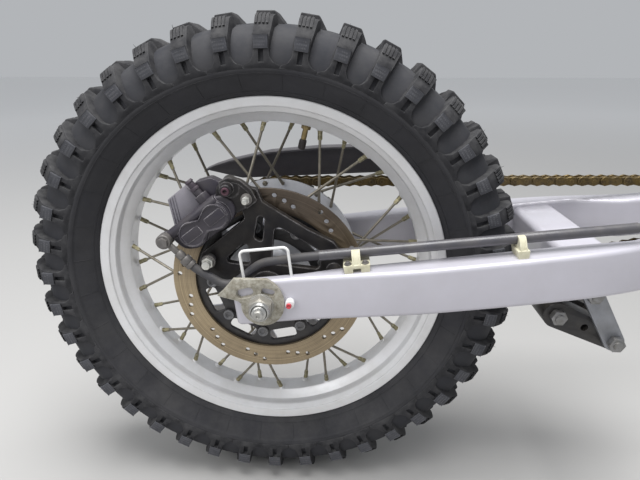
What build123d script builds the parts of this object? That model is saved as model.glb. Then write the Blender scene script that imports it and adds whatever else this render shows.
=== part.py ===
"""Rear end of a dual sport motorcycle: swingarm, laced wheel, brake and chain drive.

Millimetres. The origin is the middle of the swingarm's pivot bore, +X points
forward along the machine, +Y to its left and +Z up. The wheel stands behind
and a little below the pivot, turned about its axle, which runs along Y.
"""
import math
import os

from build123d import *

os.makedirs("parts", exist_ok=True)

# Axle place, from the pivot
AXLE_X = -556.0
AXLE_Z = -62.0
ARM_LENGTH = math.hypot(AXLE_X, AXLE_Z)
ARM_TILT = math.degrees(math.atan2(AXLE_Z, AXLE_X)) + 180.0

# Fits and gaps
RUNNING_GAP = 0.05
SEAT_GAP = 0.3
DISC_GAP = 0.5
MOVING_GAP = 5.0

# Arms: a box beam each side, half the plan measured out from the middle plane
ARM_HEIGHT = 57.0
ARM_EDGE_RADIUS = 6.0
ARM_TAIL_LENGTH = 34.6
ARM_TAIL_OUTER = 118.0
ARM_TAIL_INNER = 101.0
ARM_WIDEST = 128.0
LUG_WELD = -0.2235 * ARM_LENGTH
TAIL_WELD = -0.84 * ARM_LENGTH
ARM_MIDDLE_INNER = 91.7
ARM_FRONT_INNER = 86.0
ARM_REAR_INNER = 94.5
ARM_TAPER = 2.5
ARM_SHOULDER = 9.0
ARM_BEND_R = 90.0
PIVOT_OUTER = 92.0
PIVOT_INNER = 60.0
PIVOT_BOSS_R = 30.0
PIVOT_BUSH_R = 14.0
PIVOT_BORE_R = 8.5
PIVOT_COLLAR_STANDOUT = 1.0

# Tyre's outer size
TYRE_R = 327.0
TYRE_HALF = 65.0

# Bridge between the arms, ahead of the tyre
BRIDGE_TYRE_GAP = 26.4
BRIDGE_DEPTH = 56.0
BRIDGE_BACK = TYRE_R + BRIDGE_TYRE_GAP - ARM_LENGTH
BRIDGE_FRONT = BRIDGE_BACK + BRIDGE_DEPTH
BRIDGE_HEIGHT = 48.0
BRIDGE_CORNER_R = 9.0

# Axle and its clamping
AXLE_R = 8.5
AXLE_SLOT_BACK = 14.0
AXLE_SLOT_FRONT = 22.0
CAM_THICKNESS = 5.0
CAM_HEIGHT = 33.0
CAM_EDGE = ((-0.7273, 0.0303), (-0.8485, 0.1364), (-1.5758, 0.3333), (-1.3636, 0.5303), (-0.9697, 1.0),
            (0.2121, 1.0))
CAM_FRONT = ((0.7273, 0.4394), (0.7879, -0.1818), (0.0, -0.8182))
# Each window of the cam: middle in X and Z, lean in degrees, length and width
CAM_WINDOWS = ((-0.576, 0.455, 15.0, 0.58, 0.3), (0.242, 0.5, -12.0, 0.46, 0.21))
STOP_PIN_R = 5.5
STOP_PIN_LENGTH = 12.0
STOP_PIN_PLACE = (CAM_HEIGHT * 1.015, CAM_HEIGHT * 0.09)
WASHER_THICKNESS = 2.5
WASHER_R = 15.0
NUT_ACROSS = 26.0
NUT_HEIGHT = 14.0
AXLE_THREAD_OUT = 12.5
AXLE_HEAD_HEIGHT = 10.0
SPACER_R = 15.0

# Rim
RIM_SEAT_R = 217.5
RIM_FLANGE_HEIGHT = 13.5
RIM_FLANGE_R = RIM_SEAT_R + RIM_FLANGE_HEIGHT
RIM_FLANGE_HALF = 38.0
RIM_SEAT_HALF = 31.75
RIM_WELL_DEPTH = 13.5
RIM_WELL_R = RIM_SEAT_R - RIM_WELL_DEPTH
RIM_WELL_HALF = 11.0
RIM_WALL = 5.0

# Tyre: rise as a share of the section's height, and half width as a share of the tyre's
TYRE_WALL = 9.0
TYRE_HEEL_RISE = 3.0
TYRE_BEAD_WIDTH = 13.0
TYRE_BEAD_HEIGHT = 16.0
TREAD_DEPTH = 16.0
CARCASS_SECTION = ((0.0, 0.6), (0.18, 0.8), (0.364, 0.943), (0.61, 0.908), (0.805, 0.785), (0.922, 0.615),
                   (0.98, 0.37), (1.0, 0.0))

# Tread: forty rows, a lug on each shoulder and one or two near the middle
TREAD_ROWS = 40
TREAD_PHASE = 0.2
LUG_WIDTH = 16.5
LUG_ROOT = 2.0
SHOULDER_LUG_SECTION = ((0.29, 0.93), (0.531, 1.0), (0.683, 0.994), (0.817, 0.77), (0.915, 0.54))
CROWN_SLOT = 3.0
CROWN_HALF = 20.0
CROWN_BLOCK = 14.0
CROWN_RAMP = 12.0
CROWN_HEEL = 3.0

# Hub
HUB_BARREL_R = 36.0
FLANGE_THICKNESS = 4.4
FLANGE_RIGHT_Y = -28.0
FLANGE_LEFT_Y = 40.0
FLANGE_R = 113.5
HEAD_CIRCLE_R = 108.5
LOBE_WIDTH = 38.0
LOBE_ROOT_WIDTH = 22.0
HUB_PLATE_R = 62.0
HUB_CONE_R = 60.0
HUB_CONE_Y = 30.0
FLANGE_ROOT_R = 92.0
LOBE_FOOT_R = 50.0
LOBE_NECK_R = 88.0
LOBE_SHOULDER_R = 100.0
CARRIER_BOSS_R = 9.0
HUB_RIGHT_FACE = -50.0
HUB_LEFT_FACE = 44.0
BEARING_R = 20.0
BEARING_WIDTH = 12.0
HUB_BORE_R = 12.0

# Spokes, laced in crossing pairs
PAIRS = 9
RIGHT_PHASE = -11.5
LEFT_PHASE = -1.5
HEAD_SPREAD = 6.8
NIPPLE_SPREAD = 10.0
SPOKE_R = 2.0
SPOKE_LIFT = 6.9
NIPPLE_R = 3.2
NIPPLE_LENGTH = 13.0
NIPPLE_SIDE = 8.0
NIPPLE_SEAT_DEPTH = 2.5

# Valve
VALVE_ANGLE = 13.5
VALVE_R = 4.0
VALVE_LENGTH = 34.0

# Brake disc and its carrier
DISC_R = 125.0
DISC_INNER_R = 96.0
DISC_THICKNESS = 4.5
DISC_Y = -57.25
DISC_HOLE_GROUPS = 12
DISC_HOLE_R = 3.0
CARRIER_R = 100.5
CARRIER_INNER_R = 58.0
CARRIER_HUB_R = 75.0
CARRIER_BOLT_HOLE_R = 4.2
CARRIER_WINDOW_INNER = 70.0
CARRIER_WINDOW_OUTER = 89.0
CARRIER_WINDOW_HALF_ANGLE = 11.0
CARRIER_BOLT_HEAD_R = 7.0
CARRIER_BOLT_HEAD = 4.0
CARRIER_BOLT_GRIP = 13.0
CARRIER_WINDOW_CORNER_R = 5.0
# Radius of each hole of a group and its turn back from the group's first, in degrees
DISC_HOLES = ((0.856, 0.0), (0.892, -6.5), (0.932, -13.0))
DISC_HOLE_PHASE = 18.0

# Chain drive
CHAIN_PITCH = 15.875
SPROCKET_TEETH = 40
SPROCKET_THICKNESS = 6.0
CHAIN_Y = 79.0
CHAIN_ROLLER_R = 5.08
CHAIN_PLATE_HALF = 7.5
CHAIN_HALF_WIDTH = 8.5
CHAIN_CORE_HALF = 5.2
CHAIN_PLATE_THICKNESS = 2.0
CHAIN_PLATE_END = 0.85
CHAIN_PLATE_WAIST = 0.72
CHAIN_TOOTH_GAP = 0.4
NOSE_R = 46.2
SPROCKET_PITCH_R = CHAIN_PITCH / 2.0 / math.sin(math.pi / SPROCKET_TEETH)
SPROCKET_TIP_R = SPROCKET_PITCH_R + 4.7
SPROCKET_INNER_R = 46.0
SPROCKET_BOLTS = 6
SPROCKET_BOLT_CIRCLE_R = 60.0
SPROCKET_BOLT_R = 5.0
SPROCKET_BOLT_HEAD_R = 8.0
SPROCKET_BOLT_HEAD = 6.0
CUSH_DRUM_R = 74.0

# Caliper, in directions along and across the radius it stands on
CALIPER_ANGLE = 38.0
CALIPER_INNER_R = 92.0
CALIPER_OUTER_R = 150.0
CALIPER_HALF = 38.0
CALIPER_BRIDGE_INNER_R = 130.5
CALIPER_BRIDGE_HALF = 27.0
CALIPER_OUTSIDE_Y = -87.0
CALIPER_INSIDE_Y = -42.0
CALIPER_CORNER_R = 4.0
CALIPER_TUBE = 126.5
CALIPER_TUBE_R = 6.6
CALIPER_TUBE_SINK = 1.5
CALIPER_BODY = ((-0.3067, 0.8), (-0.2933, 0.6933), (-0.2133, 0.63), (0.1733, 0.63), (0.2533, 0.6667),
                (0.2867, 0.7467), (0.2667, 0.8267), (0.1867, 0.88), (-0.3067, 0.88))
CALIPER_BLOCK = ((-0.2567, 0.8733), (-0.1433, 1.0733), (0.0467, 1.0733), (0.0667, 0.8733))
CALIPER_BLOCK_Y = -76.0
CALIPER_HUMP = (50.0, 127.0)
CALIPER_HUMP_R = 12.5
CALIPER_EAR_R = 11.0
CALIPER_EAR = 4.0
CALIPER_LOWER_PIN = (-31.8, 73.0)
CALIPER_UPPER_PIN = (57.7, 104.7)
SLIDE_PIN_R = 4.8
SLIDE_BOOT_R = 8.0
BANJO_LUG = (-51.0, 126.5)
BANJO_BOLT_R = 4.9
BANJO_LUG_R = 11.0
BANJO_LUG_DEPTH = 17.0
BANJO_BOLT_DEPTH = 12.0
PAD_THICKNESS = 5.0
PAD_HALF = 30.0
PISTON_PLACES = (-19.8, 16.1)
PISTON_R = 112.0
PISTON_CUP_R = 15.6
PISTON_CAP = 7.5
PISTON_CAP_LIP = 2.0
BLEEDER_SEAT = (16.0, -76.8, 132.0)
BLEEDER_R = 4.5
BLEEDER_LENGTH = 31.0
BRACKET_OUTER_Y = -75.0
BRACKET_INNER_Y = -65.0
BRACKET_BOSS_R = 22.0
BRACKET_REACH = 96.0
BRACKET_TOE = (0.875 * BRACKET_REACH, 0.271 * BRACKET_REACH)
BRACKET_TOE_R = 9.0
BRACKET_TOE_Y = -94.0
BRACKET_CORNER_R = 5.0
BRACKET_OUTLINE = ((-0.8958, 0.2917), (-0.8333, 0.4792), (-0.5417, 0.7083), (-0.25, 0.9479),
                   (-0.3229, 1.1875), (-0.2292, 1.3542), (-0.0833, 1.3333), (-0.0208, 1.1667),
                   (0.5417, 0.8125), (0.875, 0.6458), (1.0, 0.4583), (0.9583, 0.1667), (0.7708, 0.125),
                   (0.3125, -0.1458), (0.0, -0.25), (-0.2708, -0.1667))
# Corners of each window, and the radius they are rounded to
BRACKET_WINDOWS = (
    (((-0.5833, 0.3542), (-0.2292, 0.6667), (-0.2083, 0.3125)), 0.052),
    (((0.0625, 0.3333), (0.125, 0.875), (0.7083, 0.5208), (0.6875, 0.2708)), 0.0625),
    (((-0.1458, 0.6875), (-0.0833, 1.0), (0.0, 0.9583), (-0.0417, 0.625)), 0.036),
)

# Brake hose
HOSE_R = 5.2
HOSE_Y = -94.0
HOSE_REACH = 84.0
HOSE_ROUTE = ((-1.0, 0.3929), (-0.5238, 0.0952), (-0.0476, 0.5))
HOSE_BENDS = (0.65, 0.26, 0.47, 0.7)
CRIMP_LENGTH = 20.0
CRIMP_R = 6.2
BANJO_NECK = 14.0
BANJO_NECK_R = 3.8
BANJO_EYE_R = 9.0
BANJO_HEAD = 4.0
BANJO_ACROSS = 12.0
GUARD_PIPE_R = 6.2
GUARD_PIPE_HEIGHT = 47.0
GUARD_PIPE_SETBACK = 22.0
GUARD_PIPE_Y = -100.0
GUARD_PIPE_BACK = -509.0
GUARD_PIPE_FRONT = -128.0
HOSE_END = -100.0

# Clips: place along the arm and length as shares of the arm's and of the longer clip's
CLIP_PLACES = ((0.799, 1.0), (0.463, 0.54))
CLIP_LENGTH = 26.0
CLIP_WIDTH = 16.0
CLIP_FOOT = 3.0

# Hoop on the tail
HOOP_WIRE_R = 1.75
HOOP_Y = -109.0
HOOP_BACK = -578.5
HOOP_FRONT = -521.5
HOOP_RISE = 36.0

# Chain guard
GUARD_Y = 101.0
GUARD_THICKNESS = 3.0
GUARD_LIP = 22.0
GUARD_FRONT = 285.0
GUARD_TOP = ((-0.386, 0.3895), (-0.393, 0.407), (-0.3368, 0.4316), (-0.2491, 0.4596),
             (-0.0491, 0.5053), (0.2105, 0.5298), (0.7018, 0.5474), (1.0, 0.5544))
GUARD_BOTTOM = ((1.0, 0.414), (0.2105, 0.3649), (-0.2105, 0.3509), (-0.3368, 0.3789))
GUARD_LEGS = (0.86, 0.95)
GUARD_LEG_HALF = 8.0

# Link rods and rocker under the bridge
LINK_HALF = 52.0
LINK_THICKNESS = 8.0
LINK_EYE_R = 13.0
LINK_BOLT_R = 6.0
LINK_BOLT_ACROSS = 19.0
LINK_BOLT_HEAD = 9.0
LINK_BOLT_THREAD = 3.0
LUG_FLARE = 9.0
ROCKER_BACK_R = 18.0
ROCKER_FRONT_R = 15.0
LINK_UPPER_AHEAD = 11.0
LINK_UPPER = (BRIDGE_FRONT + LINK_UPPER_AHEAD - AXLE_X, -12.0)
LINK_LOWER = (457.0, -82.0)
ROCKER_BACK = (380.0, -48.0)
SHOCK_EYE = ((LINK_LOWER[0] + ROCKER_BACK[0]) / 2, (LINK_LOWER[1] + ROCKER_BACK[1]) / 2)
SHOCK_BOLT_R = 5.0
SHOCK_SLOT_HALF = 15.0
SHOCK_SLOT_LENGTH = 44.0


def save(shape, name):
    """Write one node."""
    shape.label = name
    export_step(shape, f"parts/{name}.step")


def on_arm(shape):
    """Lay a shape drawn along the arm, origin at the pivot, into the row frame."""
    return Rot(0, -ARM_TILT, 0) * shape


def on_axle(shape):
    """Move a shape drawn about the axle into the row frame."""
    return Pos(AXLE_X, 0, AXLE_Z) * shape


def arm_point(x, y, z):
    """Row-frame place of a point given along the arm."""
    tilt = math.radians(ARM_TILT)
    return Vector(x * math.cos(tilt) - z * math.sin(tilt), y, x * math.sin(tilt) + z * math.cos(tilt))


def axle_point(x, y, z):
    """Row-frame place of a point given from the axle."""
    return Vector(AXLE_X + x, y, AXLE_Z + z)


def side_plate(sketch, y_low, y_high):
    """Thicken a drawing in X and Z between two places along Y."""
    return extrude(Plane.XZ.offset(-y_high) * sketch, amount=y_high - y_low)


def bar_y(radius, y_low, y_high, x=0.0, z=0.0):
    """A round bar along Y."""
    return Pos(x, (y_low + y_high) / 2, z) * Rot(90, 0, 0) * Cylinder(radius, y_high - y_low)


def ring_y(outer, inner, y_low, y_high, x=0.0, z=0.0):
    """A round ring along Y."""
    return bar_y(outer, y_low, y_high, x, z) - bar_y(inner, y_low - 1, y_high + 1, x, z)


def turned(points):
    """Turn a section, given as (radius, y) corners, about the Y axis."""
    return revolve(make_face(Polyline(*points, close=True)), Axis.Y)


def bar_between(start, end, radius):
    """A round bar from one point to another."""
    run = end - start
    return Plane(origin=start, z_dir=run) * Cylinder(
        radius, run.length, align=(Align.CENTER, Align.CENTER, Align.MIN)
    )


def polar(radius, angle):
    """X and Z at an angle measured forward from straight up."""
    turn = math.radians(angle)
    return radius * math.sin(turn), radius * math.cos(turn)


def hexagon_y(across, y_low, y_high):
    """A six-sided bar along Y."""
    return side_plate(RegularPolygon(across / math.sqrt(3), 6), y_low, y_high)


def outline(points, radius=0.0):
    """A closed flat outline with all corners rounded alike."""
    face = make_face(Polyline(*points, close=True))
    return fillet(face.vertices(), radius) if radius else face


def sized(table, length):
    """Corners given as shares of a length."""
    return [(x * length, z * length) for x, z in table]


# Swingarm
def arm_blank():
    """One arm on the +Y side, drawn along the arm with its pivot boss."""
    tail = -ARM_LENGTH - ARM_TAIL_LENGTH
    outer = [(tail, ARM_TAIL_OUTER), (-0.915 * ARM_LENGTH, ARM_TAIL_OUTER), (-0.676 * ARM_LENGTH, ARM_WIDEST),
             (-0.484 * ARM_LENGTH, ARM_WIDEST - ARM_TAPER), (-0.286 * ARM_LENGTH, ARM_WIDEST - ARM_SHOULDER),
             (-0.089 * ARM_LENGTH, PIVOT_OUTER), (0, PIVOT_OUTER)]
    inner = [(0, PIVOT_INNER), (-0.111 * ARM_LENGTH, PIVOT_INNER), (LUG_WELD, ARM_FRONT_INNER),
             (-0.386 * ARM_LENGTH, ARM_FRONT_INNER), (-0.676 * ARM_LENGTH, ARM_MIDDLE_INNER),
             (-0.826 * ARM_LENGTH, ARM_REAR_INNER), (-0.912 * ARM_LENGTH, ARM_TAIL_INNER), (tail, ARM_TAIL_INNER)]
    plan = make_face(Polyline(*outer, *inner, close=True))
    middle = (PIVOT_OUTER + ARM_TAIL_OUTER) / 2
    bends = [v for v in plan.vertices() if -0.95 * ARM_LENGTH < v.X < -0.07 * ARM_LENGTH and v.Y > middle]
    plan = fillet(bends, ARM_BEND_R)
    beam = extrude(Pos(0, 0, -ARM_HEIGHT / 2) * plan, amount=ARM_HEIGHT)
    skin = beam.faces().sort_by(Axis.Z)
    long_edges = [e for f in (skin[0], skin[-1]) for e in f.edges() if e.length > 3 and abs(e.center().X) > 1]
    beam = fillet([e for e in long_edges if e.center().X > tail + 1], ARM_EDGE_RADIUS)
    beam += bar_y(PIVOT_BOSS_R, PIVOT_INNER, PIVOT_OUTER)
    beam -= bar_y(PIVOT_BUSH_R, PIVOT_INNER - 1, PIVOT_OUTER + 1)
    corner = outline([(tail - 1, ARM_HEIGHT / 2 + 1), (tail - 1, 8), (tail, 8), (tail + 10, ARM_HEIGHT / 2 + 1)])
    beam -= side_plate(corner, ARM_TAIL_INNER - 1, ARM_TAIL_OUTER + 1)
    slot_length = AXLE_SLOT_BACK + AXLE_SLOT_FRONT
    slot_middle = -ARM_LENGTH + (AXLE_SLOT_FRONT - AXLE_SLOT_BACK) / 2
    slot = Pos(slot_middle, 0) * SlotCenterToCenter(slot_length, 2 * (AXLE_R + 0.3))
    beam -= side_plate(slot, ARM_TAIL_INNER - 1, ARM_TAIL_OUTER + 1)
    return beam


def swingarm():
    """Each arm's pivot lug, beam and tail, the bridge and the collars in the pivot bores."""
    blank = arm_blank()
    ends = (-ARM_LENGTH - ARM_TAIL_LENGTH - 1, TAIL_WELD, LUG_WELD, PIVOT_BOSS_R + 1)
    for piece, back, front in zip(("tail", "arm", "pivot_lug"), ends, ends[1:]):
        window = Pos((back + front) / 2, 0) * Box(front - back, 4 * PIVOT_OUTER, 3 * ARM_HEIGHT)
        left = blank & window
        save(on_arm(left), f"left_{piece}")
        save(on_arm(mirror(left, Plane.XZ)), f"right_{piece}")
    middle = (BRIDGE_BACK + BRIDGE_FRONT) / 2
    box = Pos(middle, 0) * RectangleRounded(BRIDGE_FRONT - BRIDGE_BACK, BRIDGE_HEIGHT, BRIDGE_CORNER_R)
    save(on_arm(side_plate(box, -ARM_FRONT_INNER, ARM_FRONT_INNER)), "bridge")
    low = PIVOT_INNER - PIVOT_COLLAR_STANDOUT
    high = PIVOT_OUTER + PIVOT_COLLAR_STANDOUT
    collar = ring_y(PIVOT_BUSH_R - RUNNING_GAP, PIVOT_BORE_R, low, high)
    save(Compound([collar, mirror(collar, Plane.XZ)]), "pivot_collars")


def cam_outline():
    """The snail cam: flat top, a pointer to the rear and a rim that grows round the axle."""
    edge = sized(CAM_EDGE, CAM_HEIGHT)
    front = sized(CAM_FRONT, CAM_HEIGHT)
    sweep_front = ThreePointArc(edge[-1], front[0], front[1])
    sweep_under = ThreePointArc(front[1], front[2], edge[0])
    return make_face([Polyline(*edge), sweep_front, sweep_under])


def snail_cams():
    """Adjuster cams under the nut and under the axle's head."""
    shape = cam_outline() - Circle(AXLE_R + 0.2)
    for x, z, lean, length, width in CAM_WINDOWS:
        window = SlotOverall(length * CAM_HEIGHT, width * CAM_HEIGHT)
        shape -= Pos(x * CAM_HEIGHT, z * CAM_HEIGHT) * Rot(0, 0, lean) * window
    right = side_plate(shape, -ARM_TAIL_OUTER - CAM_THICKNESS, -ARM_TAIL_OUTER)
    save(on_axle(right), "snail_cam_right")
    save(on_axle(mirror(right, Plane.XZ)), "snail_cam_left")


def stop_pins():
    """The pins that the cams' rims bear on, one each side."""
    pin = bar_y(STOP_PIN_R, -ARM_TAIL_OUTER - STOP_PIN_LENGTH, -ARM_TAIL_OUTER, *STOP_PIN_PLACE)
    save(on_axle(Compound([pin, mirror(pin, Plane.XZ)])), "cam_stop_pins")


def axle():
    """The axle with its head on the left and its nut and washer on the right."""
    clamp_face = ARM_TAIL_OUTER + CAM_THICKNESS
    nut_low = -clamp_face - WASHER_THICKNESS - NUT_HEIGHT
    thread_end = nut_low - AXLE_THREAD_OUT
    shaft = bar_y(AXLE_R, thread_end, clamp_face)
    shaft += hexagon_y(NUT_ACROSS, clamp_face, clamp_face + AXLE_HEAD_HEIGHT)
    shaft -= bar_y(3, thread_end - 1, thread_end + 8)
    save(on_axle(shaft), "axle")
    nut = hexagon_y(NUT_ACROSS, nut_low, -clamp_face - WASHER_THICKNESS)
    nut += bar_y(WASHER_R, -clamp_face - WASHER_THICKNESS, -clamp_face)
    nut -= bar_y(AXLE_R + RUNNING_GAP, nut_low - 1, -clamp_face + 1)
    save(on_axle(nut), "axle_nut")
    right = ring_y(SPACER_R, AXLE_R + RUNNING_GAP, BRACKET_INNER_Y, HUB_RIGHT_FACE - SEAT_GAP)
    left = ring_y(SPACER_R, AXLE_R + RUNNING_GAP, sprocket_seat() + SEAT_GAP, ARM_TAIL_INNER)
    save(on_axle(Compound([right, left])), "axle_spacers")


# Wheel
def sprocket_seat():
    """The carrier face that the sprocket is bolted to, along Y."""
    return CHAIN_Y - SPROCKET_THICKNESS / 2


def carcass_side(inset):
    """(radius, y) up one wall of the tyre to its crown, sunk below the outer skin by an inset."""
    low = RIM_FLANGE_R + TYRE_HEEL_RISE
    high = TYRE_R - TREAD_DEPTH
    return [(low + rise * (high - low - inset), max(0.0, half * TYRE_HALF - inset))
            for rise, half in CARCASS_SECTION]


def shoulder_lug():
    """Lug on the left shoulder: an upright wall, a tie bar and a sloping face up to the tip."""
    low = RIM_FLANGE_R + TYRE_HEEL_RISE
    face = [(half * TYRE_HALF, low + rise * (TYRE_R - low)) for rise, half in SHOULDER_LUG_SECTION]
    root = [(y, r) for r, y in reversed(carcass_side(LUG_ROOT)[2:7])]
    profile = make_face(Polyline(*face, *root, close=True))
    return extrude(Plane.YZ.offset(-LUG_WIDTH / 2) * profile, amount=LUG_WIDTH)


def crown_lug(y_low, y_high):
    """Lug near the middle of the tread, upright behind and ramped in front."""
    foot = TYRE_R - TREAD_DEPTH - LUG_ROOT
    half = LUG_WIDTH / 2
    tip = math.sqrt(TYRE_R ** 2 - half ** 2)
    profile = [(-half - CROWN_HEEL, foot), (-half, tip), (half, tip), (half + CROWN_RAMP, foot)]
    return side_plate(outline(profile), y_low, y_high)


def tyre():
    """Hollow tyre, open at its beads, with its rows of lugs."""
    seat = RIM_SEAT_R + SEAT_GAP
    heel = RIM_SEAT_HALF - SEAT_GAP
    toe = heel - TYRE_BEAD_WIDTH
    outside = [(seat, toe), (seat, heel), (RIM_FLANGE_R - 1.5, heel), *carcass_side(0.0)]
    inside = [(seat + TYRE_BEAD_HEIGHT, heel - TYRE_BEAD_WIDTH / 2), *carcass_side(TYRE_WALL)[1:]]
    across = [(r, -y) for r, y in reversed(outside[:-1])]
    back = [(r, -y) for r, y in inside[:-1]]
    body = turned([*outside, *across, *back, *reversed(inside)])
    side = shoulder_lug()
    other_side = mirror(side, Plane.XZ)
    split = [crown_lug(CROWN_SLOT, CROWN_HALF), crown_lug(-CROWN_HALF, -CROWN_SLOT)]
    whole = [crown_lug(-CROWN_BLOCK, CROWN_BLOCK)]
    lugs = []
    for row in range(TREAD_ROWS):
        turn = Rot(0, TREAD_PHASE + row * 360.0 / TREAD_ROWS, 0)
        lugs += [turn * lug for lug in (side, other_side, *(whole if row % 2 else split))]
    save(on_axle(body + lugs), "tyre")


def spoke_table():
    """Head and nipple ends of every spoke, as (side, head point, nipple point)."""
    rows = []
    for side, flange_y, phase in (("right", FLANGE_RIGHT_Y, RIGHT_PHASE), ("left", FLANGE_LEFT_Y, LEFT_PHASE)):
        outward = math.copysign(1.0, flange_y)
        for pair in range(PAIRS):
            middle = phase + pair * 360.0 / PAIRS
            for lean in (-1, 1):
                hx, hz = polar(HEAD_CIRCLE_R, middle - lean * HEAD_SPREAD)
                nx, nz = polar(RIM_WELL_R - RIM_WALL + NIPPLE_SEAT_DEPTH, middle + lean * NIPPLE_SPREAD)
                lift = SPOKE_LIFT * lean * outward
                rows.append((side, Vector(hx, flange_y + lift, hz), Vector(nx, outward * NIPPLE_SIDE, nz)))
    return rows


def spokes_and_nipples():
    """Straight runs of the spokes, each screwed up by a nipple seated in the rim."""
    runs = {"right": [], "left": []}
    nipples = []
    for side, head, seat in spoke_table():
        along = (seat - head).normalized()
        nipple_end = seat - along * NIPPLE_LENGTH
        runs[side].append(bar_between(head, nipple_end, SPOKE_R))
        nipples.append(bar_between(nipple_end, seat, NIPPLE_R))
    save(on_axle(Compound(runs["right"])), "spokes_right")
    save(on_axle(Compound(runs["left"])), "spokes_left")
    save(on_axle(Compound(nipples)), "nipples")


def rim():
    """Drop-centre rim with a dimple for each nipple and a hole for the valve."""
    half = [(RIM_FLANGE_R, RIM_FLANGE_HALF - 2), (RIM_FLANGE_R - 2, RIM_SEAT_HALF), (RIM_SEAT_R, RIM_SEAT_HALF),
            (RIM_SEAT_R - 0.5, RIM_WELL_HALF + 7), (RIM_WELL_R, RIM_WELL_HALF)]
    under = [(RIM_WELL_R - RIM_WALL, RIM_WELL_HALF + 3), (RIM_SEAT_R - RIM_WALL, RIM_WELL_HALF + 10),
             (RIM_SEAT_R - RIM_WALL + 0.5, RIM_SEAT_HALF + 2), (RIM_FLANGE_R - 7, RIM_SEAT_HALF + 3.5),
             (RIM_FLANGE_R - 4, RIM_FLANGE_HALF), (RIM_FLANGE_R - 1, RIM_FLANGE_HALF)]
    other = [(r, -y) for r, y in reversed(half)]
    other_under = [(r, -y) for r, y in reversed(under)]
    body = turned([*half, *other, *other_under, *under])
    for _, head, seat in spoke_table():
        along = (seat - head).normalized()
        body -= bar_between(seat - along * 8, seat, NIPPLE_R + RUNNING_GAP)
    x, z = polar(1, VALVE_ANGLE)
    out = Vector(x, 0, z)
    body -= bar_between(out * (RIM_WELL_R - 14), out * (RIM_WELL_R + 6), VALVE_R + RUNNING_GAP)
    save(on_axle(body), "rim")


def lobe(middle):
    """One spoke lobe of the right flange, from the plate out to its two spoke heads."""
    half_root = LOBE_ROOT_WIDTH / 2
    half_tip = LOBE_WIDTH / 2
    right = [(half_root, LOBE_FOOT_R), (half_root, LOBE_NECK_R), (half_tip, LOBE_SHOULDER_R),
             (half_tip, FLANGE_R - 2), (half_tip - 5, FLANGE_R)]
    shape = outline([*right, *[(-x, r) for x, r in reversed(right)]])
    return Rot(0, 0, -middle) * shape


def hub():
    """Hub with a lobed right flange, a dished left flange and the disc's standoffs."""
    half = FLANGE_THICKNESS / 2
    right_low = FLANGE_RIGHT_Y - half
    body = turned([(HUB_BORE_R, HUB_RIGHT_FACE + BEARING_WIDTH), (BEARING_R, HUB_RIGHT_FACE + BEARING_WIDTH),
                   (BEARING_R, HUB_RIGHT_FACE), (HUB_BARREL_R - 8, HUB_RIGHT_FACE),
                   (HUB_BARREL_R, right_low), (HUB_BARREL_R, FLANGE_LEFT_Y / 2),
                   (HUB_CONE_R, HUB_CONE_Y), (FLANGE_ROOT_R, FLANGE_LEFT_Y - half),
                   (FLANGE_R, FLANGE_LEFT_Y - half), (FLANGE_R, FLANGE_LEFT_Y + half),
                   (FLANGE_ROOT_R - 2, FLANGE_LEFT_Y + half), (CUSH_DRUM_R, HUB_LEFT_FACE), (BEARING_R, HUB_LEFT_FACE),
                   (BEARING_R, HUB_LEFT_FACE - BEARING_WIDTH), (HUB_BORE_R, HUB_LEFT_FACE - BEARING_WIDTH)])
    star = Circle(HUB_PLATE_R)
    for pair in range(PAIRS):
        star += lobe(RIGHT_PHASE + pair * 360.0 / PAIRS)
    star -= Circle(HUB_BARREL_R - 1)
    body += side_plate(star, right_low, FLANGE_RIGHT_Y + half)
    for pair in range(PAIRS):
        x, z = polar(CARRIER_HUB_R, RIGHT_PHASE + pair * 360.0 / PAIRS)
        body += bar_y(CARRIER_BOSS_R, HUB_RIGHT_FACE, FLANGE_RIGHT_Y, x, z)
        body -= bar_y(CARRIER_BOLT_HOLE_R, HUB_RIGHT_FACE - 1, HUB_RIGHT_FACE + CARRIER_BOLT_GRIP + 1, x, z)
    save(on_axle(body), "hub")
    bearings = [ring_y(BEARING_R - RUNNING_GAP, AXLE_R + RUNNING_GAP, low, low + BEARING_WIDTH)
                for low in (HUB_RIGHT_FACE, HUB_LEFT_FACE - BEARING_WIDTH, sprocket_seat() - BEARING_WIDTH)]
    save(on_axle(Compound(bearings)), "wheel_bearings")


def valve():
    """Valve stem with its cap, standing in from the rim."""
    x, z = polar(1, VALVE_ANGLE)
    out = Vector(x, 0, z)
    stem = bar_between(out * (RIM_WELL_R - VALVE_LENGTH + 9), out * RIM_WELL_R, VALVE_R)
    stem += bar_between(out * (RIM_WELL_R - VALVE_LENGTH - 3), out * (RIM_WELL_R - VALVE_LENGTH + 9), VALVE_R + 1)
    save(on_axle(stem), "valve_stem")


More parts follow.
